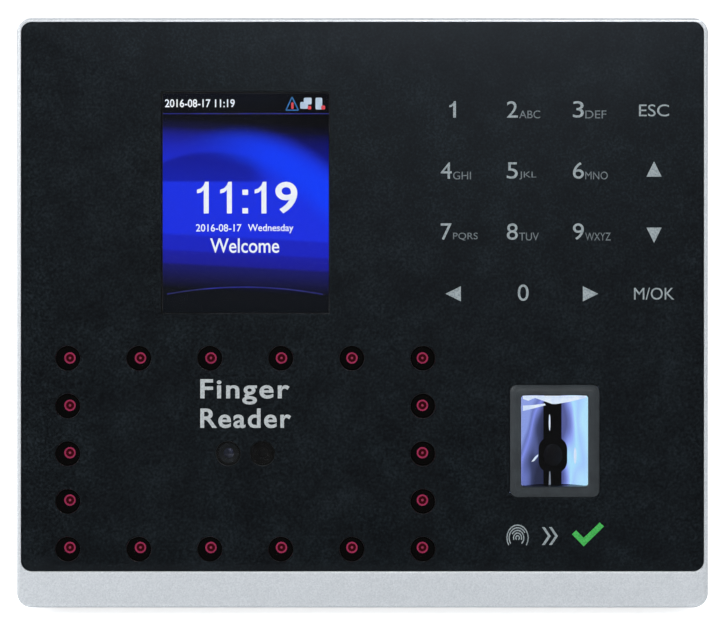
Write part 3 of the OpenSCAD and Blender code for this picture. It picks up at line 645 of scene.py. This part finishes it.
# Screen-printed keypad: digits with their small letters, arrows and the two words at the right.
KEY_FIRST, KEY_STEP = Vector((26.1, 87.9)), Vector((18.5, 17.1))
LETTERS = {"2": ("ABC", 5.9), "3": ("DEF", 5.9), "4": ("GHI", 5.0), "5": ("JKL", 4.8), "6": ("MNO", 6.3),
           "7": ("PQRS", 6.9), "8": ("TUV", 5.5), "9": ("WXYZ", 7.1)}
ROWS = ["<0>M", "789v", "456^", "123E"]
WORDS = {"M": ("M/OK", 11.2), "E": ("ESC", 8.4)}
ARROWS = {"<": math.pi, ">": 0.0, "^": math.pi / 2, "v": -math.pi / 2}
ARROW_SIZE, ARROW_STRETCH = 2.45, 1.17
DIGIT_LEFT, ZERO_LEFT, DIGIT_WIDE = -4.2, -1.15, 3.05      # across, from the middle of a key
DIGIT_LOW, DIGIT_HIGH = -2.0, 2.6                          # up, from the middle of a key

digits, letters = bmesh.new(), bmesh.new()
for row, keys in enumerate(ROWS):
    for column, key in enumerate(keys):
        spot = KEY_FIRST + Vector((column * KEY_STEP.x, row * KEY_STEP.y))
        if key in ARROWS:
            tip = bmesh.ops.create_cone(digits, cap_ends=True, segments=3, radius1=ARROW_SIZE,
                                        radius2=ARROW_SIZE, depth=PRINT)["verts"]
            bmesh.ops.scale(digits, vec=(1, ARROW_STRETCH, 1), verts=tip)
            bmesh.ops.rotate(digits, cent=(0, 0, 0), matrix=Matrix.Rotation(ARROWS[key] - math.pi / 2, 3, "Z"),
                             verts=tip)
            bmesh.ops.translate(digits, vec=(spot.x, spot.y, PANEL_Z + PRINT / 2), verts=tip)
        elif key in WORDS:
            word, wide = WORDS[key]
            lettered(digits, word, spot + Vector((-wide / 2, -1.65)), spot + Vector((wide / 2, 1.7)), PANEL_Z)
        elif key == "1":
            figure_one(digits, spot + Vector((-1.8, DIGIT_LOW)), spot + Vector((0.05, DIGIT_HIGH)), PANEL_Z)
        else:
            left = ZERO_LEFT if key == "0" else DIGIT_LEFT
            lettered(digits, key, spot + Vector((left, DIGIT_LOW)),
                     spot + Vector((left + DIGIT_WIDE, DIGIT_HIGH)), PANEL_Z)
        if key in LETTERS:
            word, wide = LETTERS[key]
            lettered(letters, word, spot + Vector((-0.75, -2.2)), spot + Vector((-0.75 + wide, 0.0)), PANEL_Z)
piece("key_legends", digits, GREY_INK)
piece("key_letters", letters, DIM_INK)

# Two plain words beside the cameras say what the device is.
words = bmesh.new()
for word, low, high, apart in [("Finger", (-45.4, 56.9), (-20.4, 64.0), 1.14),
                               ("Reader", (-45.4, 50.3), (-20.0, 55.8), 1.12)]:
    lettered(words, word, low, high, PANEL_Z, spread=0.019, apart=apart)
piece("plain_words", words, WHITE_INK)


def arc_band(shape, centre, radius, width, start, stop, height, stretch=1.0, steps=14):
    """Adds a printed band along an arc, angles in degrees."""
    before = set(shape.verts)
    ends = [shape.verts.new((radius - width / 2, 0, 0)), shape.verts.new((radius + width / 2, 0, 0))]
    edge = shape.edges.new(ends)
    bmesh.ops.rotate(shape, cent=(0, 0, 0), matrix=Matrix.Rotation(math.radians(start), 3, "Z"), verts=ends)
    bmesh.ops.spin(shape, geom=ends + [edge], axis=(0, 0, 1), cent=(0, 0, 0), steps=steps,
                   angle=math.radians(stop - start))
    faces = faces_of(added(shape, before))
    bmesh.ops.recalc_face_normals(shape, faces=faces)
    grown = bmesh.ops.extrude_face_region(shape, geom=faces, use_keep_orig=True)["geom"]
    bmesh.ops.translate(shape, vec=(0, 0, PRINT), verts=corners_of(grown))
    made = added(shape, before)
    bmesh.ops.scale(shape, vec=(1, stretch, 1), verts=made)
    bmesh.ops.translate(shape, vec=(centre[0], centre[1], height), verts=made)


# Pictograms under the sensor: a finger's ridges, two chevrons and a green tick.
marks = bmesh.new()
RIDGE_SPOT = (43.4, 19.6)
for ring, (start, stop) in enumerate([(-60, 240), (-25, 205), (-50, 150), (30, 215), (-35, 215)]):
    arc_band(marks, RIDGE_SPOT, 0.5 + 0.62 * ring, 0.3, start, stop, PANEL_Z, stretch=1.2)
for x in (50.2, 52.2):
    outlined(marks, [(x, 17.6), (x + 1.7, 20.1), (x, 22.6), (x + 0.8, 22.6), (x + 2.5, 20.1), (x + 0.8, 17.6)],
             PANEL_Z, PANEL_Z + PRINT)
piece("ridge_pictogram", marks, GREY_INK)
tick = bmesh.new()
outlined(tick, [(58.6, 20.6), (59.8, 21.7), (61.9, 19.6), (66.4, 23.9), (67.6, 22.8), (61.9, 17.2)],
         PANEL_Z, PANEL_Z + PRINT)
piece("green_tick", tick, GREEN_INK)

# ---------------------------------------------------------------- display

glass_box = extent("lcd_glass")
view_box = extent("lcd_window")
LCD = middle(view_box)
LCD_W, LCD_H = view_box[1].x - view_box[0].x, view_box[1].y - view_box[0].y
SCREEN_Z = glass_box[1].z + 0.02


def mapped(made, low, high):
    """Gives a piece its own map across and up between two corners of the face."""
    layer = made.data.uv_layers.new(name="across_up")
    back = FACE.inverted()
    for loop in made.data.loops:
        spot = back @ made.data.vertices[loop.vertex_index].co
        layer.data[loop.index].uv = ((spot.x - low[0]) / (high[0] - low[0]),
                                     (spot.y - low[1]) / (high[1] - low[1]))


image = bmesh.new()
outlined(image, shifted(rounded(LCD_W - 0.2, LCD_H - 0.2, 0.4), LCD), SCREEN_Z, SCREEN_Z + PRINT)
image_piece = piece("display_picture", image, picture_finish())
mapped(image_piece, (LCD.x - LCD_W / 2, LCD.y - LCD_H / 2), (LCD.x + LCD_W / 2, LCD.y + LCD_H / 2))
TEXT_Z = SCREEN_Z + 0.04
SHEET_Z = TEXT_Z + PRINT
MARK_Z = TEXT_Z + 0.07


def on_screen(shape, words, left, bottom, right, top, spread=0.0):
    """Adds words to the display, placed from its middle."""
    lettered(shape, words, (LCD.x + left, LCD.y + bottom), (LCD.x + right, LCD.y + top), TEXT_Z, spread=spread)


white = bmesh.new()
for left, right in [(-13.7, -10.4), (-7.2, -3.9), (2.5, 5.8)]:
    figure_one(white, (LCD.x + left, LCD.y - 2.9), (LCD.x + right, LCD.y + 6.0), TEXT_Z)
for up in (-2.9, 2.3):
    outlined(white, shifted(rectangle(-0.95, up, 0.65, up + 1.5), LCD), TEXT_Z, TEXT_Z + PRINT)
on_screen(white, "9", 8.3, -2.9, 14.5, 6.0, spread=0.016)
on_screen(white, "2016-08-17", -14.0, -8.0, -1.2, -5.9, spread=0.008)
on_screen(white, "Wednesday", 0.6, -8.5, 13.4, -5.9, spread=0.008)
on_screen(white, "Welcome", -10.0, -14.0, 9.4, -9.9, spread=0.01)
on_screen(white, "2016-08-17 11:19", -22.7, 26.9, -3.1, 29.2, spread=0.014)
piece("display_words", white, SCREEN_WHITE)

icon_frame, icon_sheet, icon_red = bmesh.new(), bmesh.new(), bmesh.new()
WARNING = [Vector((11.3, 26.1)), Vector((13.0, 29.8)), Vector((14.8, 26.1))]
for a, b in zip(WARNING, WARNING[1:] + WARNING[:1]):
    side = (b - a).orthogonal().normalized() * 0.16
    outlined(icon_frame, shifted((a - side, b - side, b + side, a + side), LCD), TEXT_Z, TEXT_Z + PRINT)
for shape, spots, radius, height in [
    (icon_sheet, [(15.3, 26.5, 2.2, 1.9), (16.3, 27.7, 2.2, 1.9), (19.6, 26.3, 1.9, 3.3)], 0.35, SHEET_Z),
    (icon_red, [(12.75, 26.4, 0.7, 1.9), (17.4, 26.3, 1.0, 1.0), (21.2, 26.3, 1.1, 1.1)], 0.3, MARK_Z),
]:
    for x, y, w, h in spots:
        spot = Vector((LCD.x + x + w / 2, LCD.y + y + h / 2))
        outlined(shape, shifted(rounded(w, h, radius), spot), height, height + PRINT)
piece("display_warning_icon", icon_frame, SCREEN_BLUE)
piece("display_sheet_icons", icon_sheet, SCREEN_GREY)
piece("display_red_marks", icon_red, SCREEN_RED)

navy = bmesh.new()
outlined(navy, shifted(rectangle(-23.4, 25.0, 23.4, 25.25), LCD), TEXT_Z, TEXT_Z + PRINT)
arc_band(navy, (LCD.x - 0.4, LCD.y - 143.6), 120.0, 0.32, 79.4, 100.4, TEXT_Z, steps=24)
piece("display_horizon", navy, SCREEN_NAVY)

# ---------------------------------------------------------------- lamps behind their filters

lamps = [middle(box) for box in solids("lamp_filters")]
cups, skirts, floors, dies = bmesh.new(), bmesh.new(), bmesh.new(), bmesh.new()
LED_Z = -6.0
for lamp in lamps:
    at = (lamp.x, lamp.y, LED_Z)
    turned(cups, [(1.14, -0.2), (1.6, 0.0), (1.6, -0.4), (1.14, -0.6)], at, closed=True)
    turned(skirts, [(1.61, 0.0), (1.75, -0.02), (1.8, -0.1), (1.8, -1.1), (2.0, -1.2), (2.0, -2.0),
                    (1.61, -2.0)], at, closed=True)
    turned(floors, [(0, -0.24), (1.13, -0.24), (1.13, -0.6), (0, -0.6)], at)
    turned(dies, [(0, 0.02), (0.3, -0.02), (0.36, -0.1), (0.36, -0.23), (0, -0.23)], at, steps=24)
# The cups and cup floors glow with painted light, standing in for the die's light that they reflect.
cup_piece = piece("lamp_cups", cups, RING_GLOW)
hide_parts("infrared_leds")
piece("lamp_skirts", skirts, FINISH["sleeve_black"])
piece("lamp_cup_floors", floors, FLOOR_GLOW)
piece("lamp_dies", dies, DIE_GLOW)

# ---------------------------------------------------------------- cameras

BAFFLE = moulded("baffle_grey", "grey_lens_baffle", "1D2327", "293035", 0.5, 0.4, 0.01, specular_ior_level=0.3)
DARK_BAFFLE = moulded("baffle_dark", "dark_lens_baffle", "040405", "07080A", 0.5, 0.4, 0.01,
                      specular_ior_level=0.15)
colour_glass, tree, shader = finish("violet_coated_lens", "2E3450", 0.2, ior=1.5, coat_weight=0.3,
                                    coat_tint=rgb("7C88FF"))
tinted(tree, shader, blotches(tree, 1.2), [(0.3, "242A38"), (0.7, "2E3548")])
infrared_glass, tree, shader = finish("infrared_coated_lens", "040406", 0.3, specular_ior_level=0.08)
tinted(tree, shader, blotches(tree, 1.2), [(0.3, "030304"), (0.7, "09090E")])
BASE_HALF, BARREL_DEEP = 4.3, 4.8                          # half the square base, and the barrel in front of it
for node, baffle, glass in [("colour_camera", BAFFLE, colour_glass),
                            ("infrared_camera", DARK_BAFFLE, infrared_glass)]:
    low, high = solids(node)[0]
    spot = ((low.x + high.x) / 2, (low.y + high.y) / 2, high.z)
    ring = bmesh.new()
    turned(ring, [(3.0, 0.0), (3.5, 0.0), (3.6, -0.1), (3.6, -BARREL_DEEP), (2.6, -BARREL_DEEP), (2.6, -1.9),
                  (2.75, -0.2)], spot, steps=48, closed=True)
    block(ring, (spot[0] - BASE_HALF, spot[1] - BASE_HALF, low.z),
          (spot[0] + BASE_HALF, spot[1] + BASE_HALF, spot[2] - BARREL_DEEP), ease=0.3)
    barrel = piece(node + "_barrel", ring, FINISH["camera_black"])
    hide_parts(node)
    cone = bmesh.new()
    turned(cone, [(2.74, -0.25), (2.2, -0.7), (1.5, -1.0), (1.5, -1.5), (2.6, -1.5), (2.6, -1.0)], spot,
           steps=48, closed=True)
    piece(node + "_baffle", cone, baffle)
    dome = bmesh.new()
    turned(dome, [(0, -0.75), (0.5, -0.78), (1.0, -0.88), (1.45, -1.06), (1.49, -1.6), (0, -1.6)], spot,
           steps=48)
    eye = piece(node + "_lens", dome, glass)
    if node == "colour_camera":
        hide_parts("camera_lenses")

# ---------------------------------------------------------------- finger sensor

S_LOW, S_HIGH = extent("sensor_frame")
sensor = middle((S_LOW, S_HIGH))
S_W, S_H = S_HIGH.x - S_LOW.x, S_HIGH.y - S_LOW.y
WIN_W, WIN_H, WIN_R = 18.9, 25.6, 1.0
TOP_Z = S_HIGH.z
LIGHT_SEAL = 0.2                  # how much wider the rest is behind the panel, so that no light leaks past it
PRISM_Z = extent("finger_prism")[1].z
WALL_X, WALL_RUN, WALL_DEPTH = 9.3, 6.9, 7.0               # a lit wall's outer edge, its run inwards and back
CHAMBER_HALF = 12.6                                        # half the chamber's height
EYE_DROP = 4.3                                             # how far the chamber's lens sits below the middle


def ring_of_loops(shape, loops):
    """Adds a closed ring through loops of points, each loop joined to the next and the last to the first."""
    rims = [[shape.verts.new((x, y, height)) for x, y in shifted(points, sensor)] for points, height in loops]
    for here, there in zip(rims, rims[1:] + rims[:1]):
        for i in range(len(here)):
            shape.faces.new((here[i - 1], here[i], there[i], there[i - 1]))
    bmesh.ops.recalc_face_normals(shape, faces=list(shape.faces))


frame_ring = bmesh.new()
ring_of_loops(frame_ring, [
    (rounded(S_W, S_H, 2.0), S_LOW.z),
    (rounded(S_W + LIGHT_SEAL, S_H + LIGHT_SEAL, 2.0), PANEL_Z - 0.9),
    (rounded(S_W + LIGHT_SEAL, S_H + LIGHT_SEAL, 2.0), PANEL_Z - 0.5),
    (rounded(S_W, S_H, 2.0), PANEL_Z - 0.4),
    (rounded(S_W, S_H, 2.0), PANEL_Z + 0.12),
    (rounded(S_W - 0.5, S_H - 0.5, 1.8), PANEL_Z + 0.32),
    (rounded(S_W - 2.9, S_H - 2.9, 1.3), TOP_Z - 0.05),
    (rounded(S_W - 3.5, S_H - 3.5, 1.2), TOP_Z),
    (rounded(WIN_W + 0.5, WIN_H + 0.5, WIN_R), TOP_Z),
    (rounded(WIN_W, WIN_H, WIN_R), TOP_Z - 0.25),
    (rounded(WIN_W, WIN_H, WIN_R), S_LOW.z),
])
rest = piece("finger_rest", frame_ring, FINISH["sensor_grey"])
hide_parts("sensor_frame")

pane = bmesh.new()
outlined(pane, shifted(rounded(18.3, 25.0, 0.8), sensor), PRISM_Z - 1.2, PRISM_Z)
glass_pane = piece("finger_window_glass", pane, FINISH["prism_glass"])
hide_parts("finger_prism")


def lit_wall(name, side, material):
    """One curved side wall of the chamber, glowing with painted light, from the window's edge back to the dark
    bar.
    """
    shape = bmesh.new()
    steps = 10
    path = []
    for i in range(steps + 1):
        t = i / steps
        path.append(shape.verts.new((sensor.x + side * (WALL_X - WALL_RUN * t), sensor.y - CHAMBER_HALF,
                                     PRISM_Z - 1.35 - WALL_DEPTH * math.sin(t * math.pi / 2))))
    edges = [shape.edges.new(pair) for pair in zip(path, path[1:])]
    swept = bmesh.ops.extrude_edge_only(shape, edges=edges)["geom"]
    bmesh.ops.translate(shape, vec=(0, 2 * CHAMBER_HALF, 0), verts=corners_of(swept))
    bmesh.ops.solidify(shape, geom=list(shape.faces), thickness=0.15)
    bmesh.ops.recalc_face_normals(shape, faces=list(shape.faces))
    made = piece(name, shape, material)
    mapped(made, (sensor.x, sensor.y - CHAMBER_HALF), (sensor.x + side * WALL_X, sensor.y + CHAMBER_HALF))


# Both walls glow with painted light, the left one also brighter towards the top.
lit_wall("chamber_left_wall", -1, lit_wall_finish("lit_wall_violet", [
    (0.2, "2A2E48"), (0.38, "3E4468"), (0.52, "6C76B4"), (0.66, "8E9AEE"), (0.82, "7480C0"), (1.0, "98A8E8"),
], 1.0, rise=0.9))
lit_wall("chamber_right_wall", 1, lit_wall_finish("lit_wall_ice", [
    (0.2, "5A6098"), (0.34, "7C88D0"), (0.46, "A2B4FA"), (0.58, "B8ECFF"), (0.74, "B0D4FF"), (1.0, "BEEEFF"),
], 1.05))

dark = bmesh.new()
block(dark, (sensor.x - 2.6, sensor.y - CHAMBER_HALF, PRISM_Z - 9.2),
      (sensor.x + 2.5, sensor.y + 10.6, PRISM_Z - 7.6), ease=0.2)
eye_spot = Vector((sensor.x, sensor.y - EYE_DROP, PRISM_Z - 6.2))
outlined(dark, shifted(rounded(8.0, 10.2, 3.4, steps=9), eye_spot), PRISM_Z - 8.2, PRISM_Z - 6.6)
CHAMBER_BLACK = moulded("chamber_black", "flocked_black_wall", "010101", "030304", 0.9, 0.5, 0.01,
                        specular_ior_level=0.0)
piece("chamber_dark_bar", dark, CHAMBER_BLACK)
eye = bmesh.new()
turned(eye, [(0, 0.5), (1.2, 0.4), (2.3, 0.1), (2.6, -0.2), (2.6, -0.6), (0, -0.6)], eye_spot,
       scale=(1, 1.2, 1))
piece("chamber_eye", eye, infrared_glass)


def streak(shape, points):
    """Adds a streak of painted reflection: light that the chamber's walls throw behind the glass, drawn as a
    glowing sliver.
    """
    outlined(shape, shifted(points, sensor), GLINT_Z - 0.2, GLINT_Z)


# Painted reflections behind the sensor's glass, as bright and dim glowing slivers.
glints = bmesh.new()
GLINT_Z = PRISM_Z - 1.9
streak(glints, [(-9.2, 12.6), (-9.0, 11.8), (-7.3, 11.2), (-5.4, 12.0), (-2.0, 10.8), (-0.6, 10.3), (0.6, 10.3),
                (4.2, 10.9), (9.2, 12.1), (9.2, 12.6)])
streak(glints, [(-9.4, 9.8), (-9.4, 8.2), (-6.0, 9.0), (-2.4, 9.95), (-2.7, 10.4), (-6.0, 10.0)])
for x, y, w, h in [(-1.3, 5.1, 0.45, 4.6), (5.85, -4.2, 0.75, 4.6)]:
    turns = [math.tau * i / 20 for i in range(20)]
    streak(glints, [(x + w / 2 * math.cos(a), y + h / 2 * math.sin(a)) for a in turns])
streak(glints, [(-6.4, -5.9), (-5.6, -5.7), (-4.6, -4.4), (-4.5, -3.8), (-5.4, -4.5)])
piece("chamber_glints", glints, GLINT)
soft = bmesh.new()
streak(soft, [(-1.55, -12.4), (-0.95, -12.4), (-1.1, -8.6), (-1.4, -8.6)])
piece("chamber_soft_glint", soft, DIM_GLINT)

# ---------------------------------------------------------------- rear shell, wall plate and hardware

CASE_SIDE, CASE_BACK, CASE_FOOT = 83, 40.2, 0.1            # past these a corner is on the outside of the case
COVER_BACK = 40.6                                          # the same for the back cover
SCREW_X, SOCKET_REACH = 89.7, 1.0                          # middle of a screw, and reach of its drive socket
SCREW_BACK = extent("case_screws")[0].z


def outer_case_edge(edge):
    """Whether an edge is a long one on the outside of the case."""
    return edge.calc_length() > 3.5 and all(
        abs(v.co.x) > CASE_SIDE or v.co.y > CASE_BACK or v.co.z < CASE_FOOT for v in edge.verts)


def cover_edge(edge):
    """Whether an edge is a long one on the outside of the back cover."""
    return all(v.co.y > COVER_BACK for v in edge.verts) and edge.calc_length() > 2.5


def screw_head_edge(edge):
    """Whether an edge goes round a screw's head, and not round its drive socket."""
    return at_front(edge, SCREW_BACK, 0.05) and max(
        abs(abs(v.co.x) - SCREW_X) for v in edge.verts) > SOCKET_REACH


refined("rear_housing", "rear_shell", "black_case", [(0.3, outer_case_edge)], space=ROOM)
refined("back_panel", "back_cover", "black_case", [(0.25, cover_edge)], space=ROOM)
refined("cable_bay", "cable_bay_tub", "black_case", [], space=ROOM)
refined("wall_plate", "pressed_wall_plate", "zinc_steel",
        [(0.25, lambda e: e.calc_length() > 0.05)], body="wall_plate", space=ROOM)
refined("case_screws", "case_screw_heads", "dark_screw", [(0.3, screw_head_edge)])
refined("lock_screw", "locking_screw", "dark_screw", [(0.2, lambda e: e.calc_length() < 1.2)],
        body="wall_plate", space=ROOM)
refined("usb_cover", "rubber_port_cover", "rubber_black", [(0.25, lambda e: e.calc_length() > 3)],
        body="port_cover", space=ROOM)
refined("reset_button", "reset_pin", "button_grey", [], body="reset_button", space=ROOM)
refined("tamper_plunger", "tamper_pin", "button_grey", [], body="tamper_plunger", space=ROOM)

# ---------------------------------------------------------------- contacts in the jacks

BAY = {node: middle(extent(node, ROOM)) for node in ("ethernet_jack", "power_jack", "usb_socket")}
MOUTH = extent("ethernet_jack", ROOM)[0].z
PIN_PITCH, CONTACT_PITCH, TERMINAL_PITCH = 1.02, 2.4, 3.5
SLOT_HALF = 0.16                                           # half the width of a terminal screw's slot
pins = bmesh.new()
for i in range(8):
    x = BAY["ethernet_jack"].x + (i - 3.5) * PIN_PITCH
    pin = block(pins, (x - 0.2, -0.15, -4.6), (x + 0.2, 0.15, 4.6), ease=0.08)
    bmesh.ops.rotate(pins, cent=(x, 0, 0), matrix=Matrix.Rotation(math.radians(-14), 3, "X"), verts=pin)
    bmesh.ops.translate(pins, vec=(0, BAY["ethernet_jack"].y - 2.9, MOUTH + 6.0), verts=pin)
PORT_X, TONGUE_Z = extent("usb_socket", ROOM)[1].x, BAY["usb_socket"].z
for i in range(4):
    y = BAY["usb_socket"].y + (i - 1.5) * CONTACT_PITCH
    block(pins, (PORT_X - 9.5, y - 0.55, TONGUE_Z + 0.36), (PORT_X - 2.8, y + 0.55, TONGUE_Z + 0.5))
piece("jack_contacts", pins, FINISH["copper"], space=ROOM)

barrel = bmesh.new()
turned(barrel, [(0.0, 0.0), (0.6, 0.1), (1.03, 0.6), (1.03, 8.4), (0, 8.4)],
       (BAY["power_jack"].x, BAY["power_jack"].y, MOUTH + 0.9), steps=24)
piece("power_contact", barrel, FINISH["bright_screw"], space=ROOM)

# Each terminal has a screw, made of two halves with its slot between them, and a cage of two plates.
heads, cages = bmesh.new(), bmesh.new()
for low, high in solids("terminal_blocks", ROOM):
    cx, cy = (low.x + high.x) / 2, (low.y + high.y) / 2
    for i in range(-2, 3):
        x = cx + i * TERMINAL_PITCH
        for side in (-1, 1):
            half = bmesh.ops.create_circle(heads, cap_ends=True, segments=24, radius=1.0)["verts"]
            disc = list({g for v in half for g in [*v.link_faces, *v.link_edges, v]})
            cut = bmesh.ops.bisect_plane(heads, geom=disc, plane_co=(0, side * SLOT_HALF, 0),
                                         plane_no=(0, side, 0), clear_inner=True)
            face = [g for g in cut["geom"] if isinstance(g, bmesh.types.BMFace) and g.is_valid]
            grown = bmesh.ops.extrude_face_region(heads, geom=face, use_keep_orig=True)["geom"]
            tops = corners_of(grown)
            bmesh.ops.translate(heads, vec=(0, 0, 1.2), verts=tops)
            both = list({v for f in face for v in f.verts} | set(tops))
            bmesh.ops.translate(heads, vec=(x, cy - 3.2, low.z + 1.4), verts=both)
        for side in (-1, 1):
            block(cages, (x + side - 0.12, cy - 1.4, low.z + 1.6), (x + side + 0.12, cy + 1.4, low.z + 6.4))
bmesh.ops.recalc_face_normals(heads, faces=list(heads.faces))
piece("terminal_screws", heads, FINISH["bright_screw"], space=ROOM)
piece("terminal_cages", cages, FINISH["tinned_steel"], space=ROOM)

# ---------------------------------------------------------------- floor, light and camera

floor_mesh = bmesh.new()
FLOOR_REACH = 9                   # half the floor's width, in metres
bmesh.ops.create_grid(floor_mesh, x_segments=2, y_segments=2, size=FLOOR_REACH)
floor_data = bpy.data.meshes.new("studio_floor")
floor_mesh.to_mesh(floor_data)
floor_mesh.free()
# Matt white paper: lit from above, and a little brighter to the eye so that the ground reads white.
paper, tree, shader = finish("matt_white_paper", "F4F5F6", 0.9)
fibres = blotches(tree, 40.0)
tinted(tree, shader, fibres, [(0.3, "F2F3F4"), (0.7, "F8F8F9")])
seen = add(tree, "LightPath").outputs["Is Camera Ray"]
far = add(tree, "VectorMath", {0: add(tree, "TexCoord").outputs["Object"]}, operation="LENGTH").outputs["Value"]
fade = add(tree, "MapRange", {"Value": far, "From Min": 0.15, "From Max": 1.2,
                              "To Min": 0.8, "To Max": 1.0}).outputs[0]
lift = worked(tree, "MULTIPLY", seen, fade)
shader.inputs["Emission Color"].default_value = rgb("FFFFFF")
tree.links.new(lift, shader.inputs["Emission Strength"])
floor_data.materials.append(paper)
floor = bpy.data.objects.new("studio_floor", floor_data)
floor.location = (0, 0, CAD_BOX[0].z)
bpy.context.scene.collection.objects.link(floor)

world = bpy.data.worlds.new("studio")
bpy.context.scene.world = world
world.use_nodes = True
sky = world.node_tree
sky.nodes.clear()
ray = add(sky, "LightPath").outputs["Is Camera Ray"]
strength = add(sky, "MapRange", {"Value": ray, "To Min": 0.07, "To Max": 1.05}).outputs[0]
shade = add(sky, "Background", {"Color": rgb("FFFFFF"), "Strength": strength})
add(sky, "OutputWorld", {"Surface": shade.outputs[0]})

VIEW_UP = 81.4                    # how far up the face the view is centred
CENTRE = FACE @ Vector((0, VIEW_UP, 0))


def softbox(name, azimuth, elevation, distance, size, power):
    """A square soft light that looks at the object. Azimuth 0 is in front, positive to the right."""
    data = bpy.data.lights.new(name, "AREA")
    data.shape, data.size, data.energy = "SQUARE", size, power
    light = bpy.data.objects.new(name, data)
    a, e = math.radians(azimuth), math.radians(elevation)
    away = Vector((math.sin(a) * math.cos(e), -math.cos(a) * math.cos(e), math.sin(e)))
    light.location = CENTRE + away * distance
    light.rotation_euler = away.to_track_quat("Z", "Y").to_euler()
    bpy.context.scene.collection.objects.link(light)


softbox("upper_left_softbox", -58, 36, 1.3, 1.0, 13)
softbox("right_softbox", 62, 24, 1.3, 0.9, 3.0)
softbox("front_top_softbox", 7, 35, 1.3, 0.4, 4.8)
softbox("rear_left_softbox", -140, 35, 1.5, 1.0, 9)
softbox("rear_right_softbox", 140, 40, 1.5, 1.0, 10)

CAMERA_DISTANCE = 0.70
FRAME_WIDTH = 0.2028              # width of the view at the face, in metres
FILM = 36
camera_data = bpy.data.cameras.new("camera")
camera_data.sensor_width = FILM
camera_data.lens = FILM * CAMERA_DISTANCE / FRAME_WIDTH
camera = bpy.data.objects.new("camera", camera_data)
bpy.context.scene.collection.objects.link(camera)
outward = (FACE.to_3x3() @ Vector((0, 0, 1))).normalized()
camera.location = CENTRE + outward * CAMERA_DISTANCE
camera.rotation_euler = outward.to_track_quat("Z", "Y").to_euler()
bpy.context.scene.camera = camera
bpy.context.scene.view_settings.view_transform = "Standard"
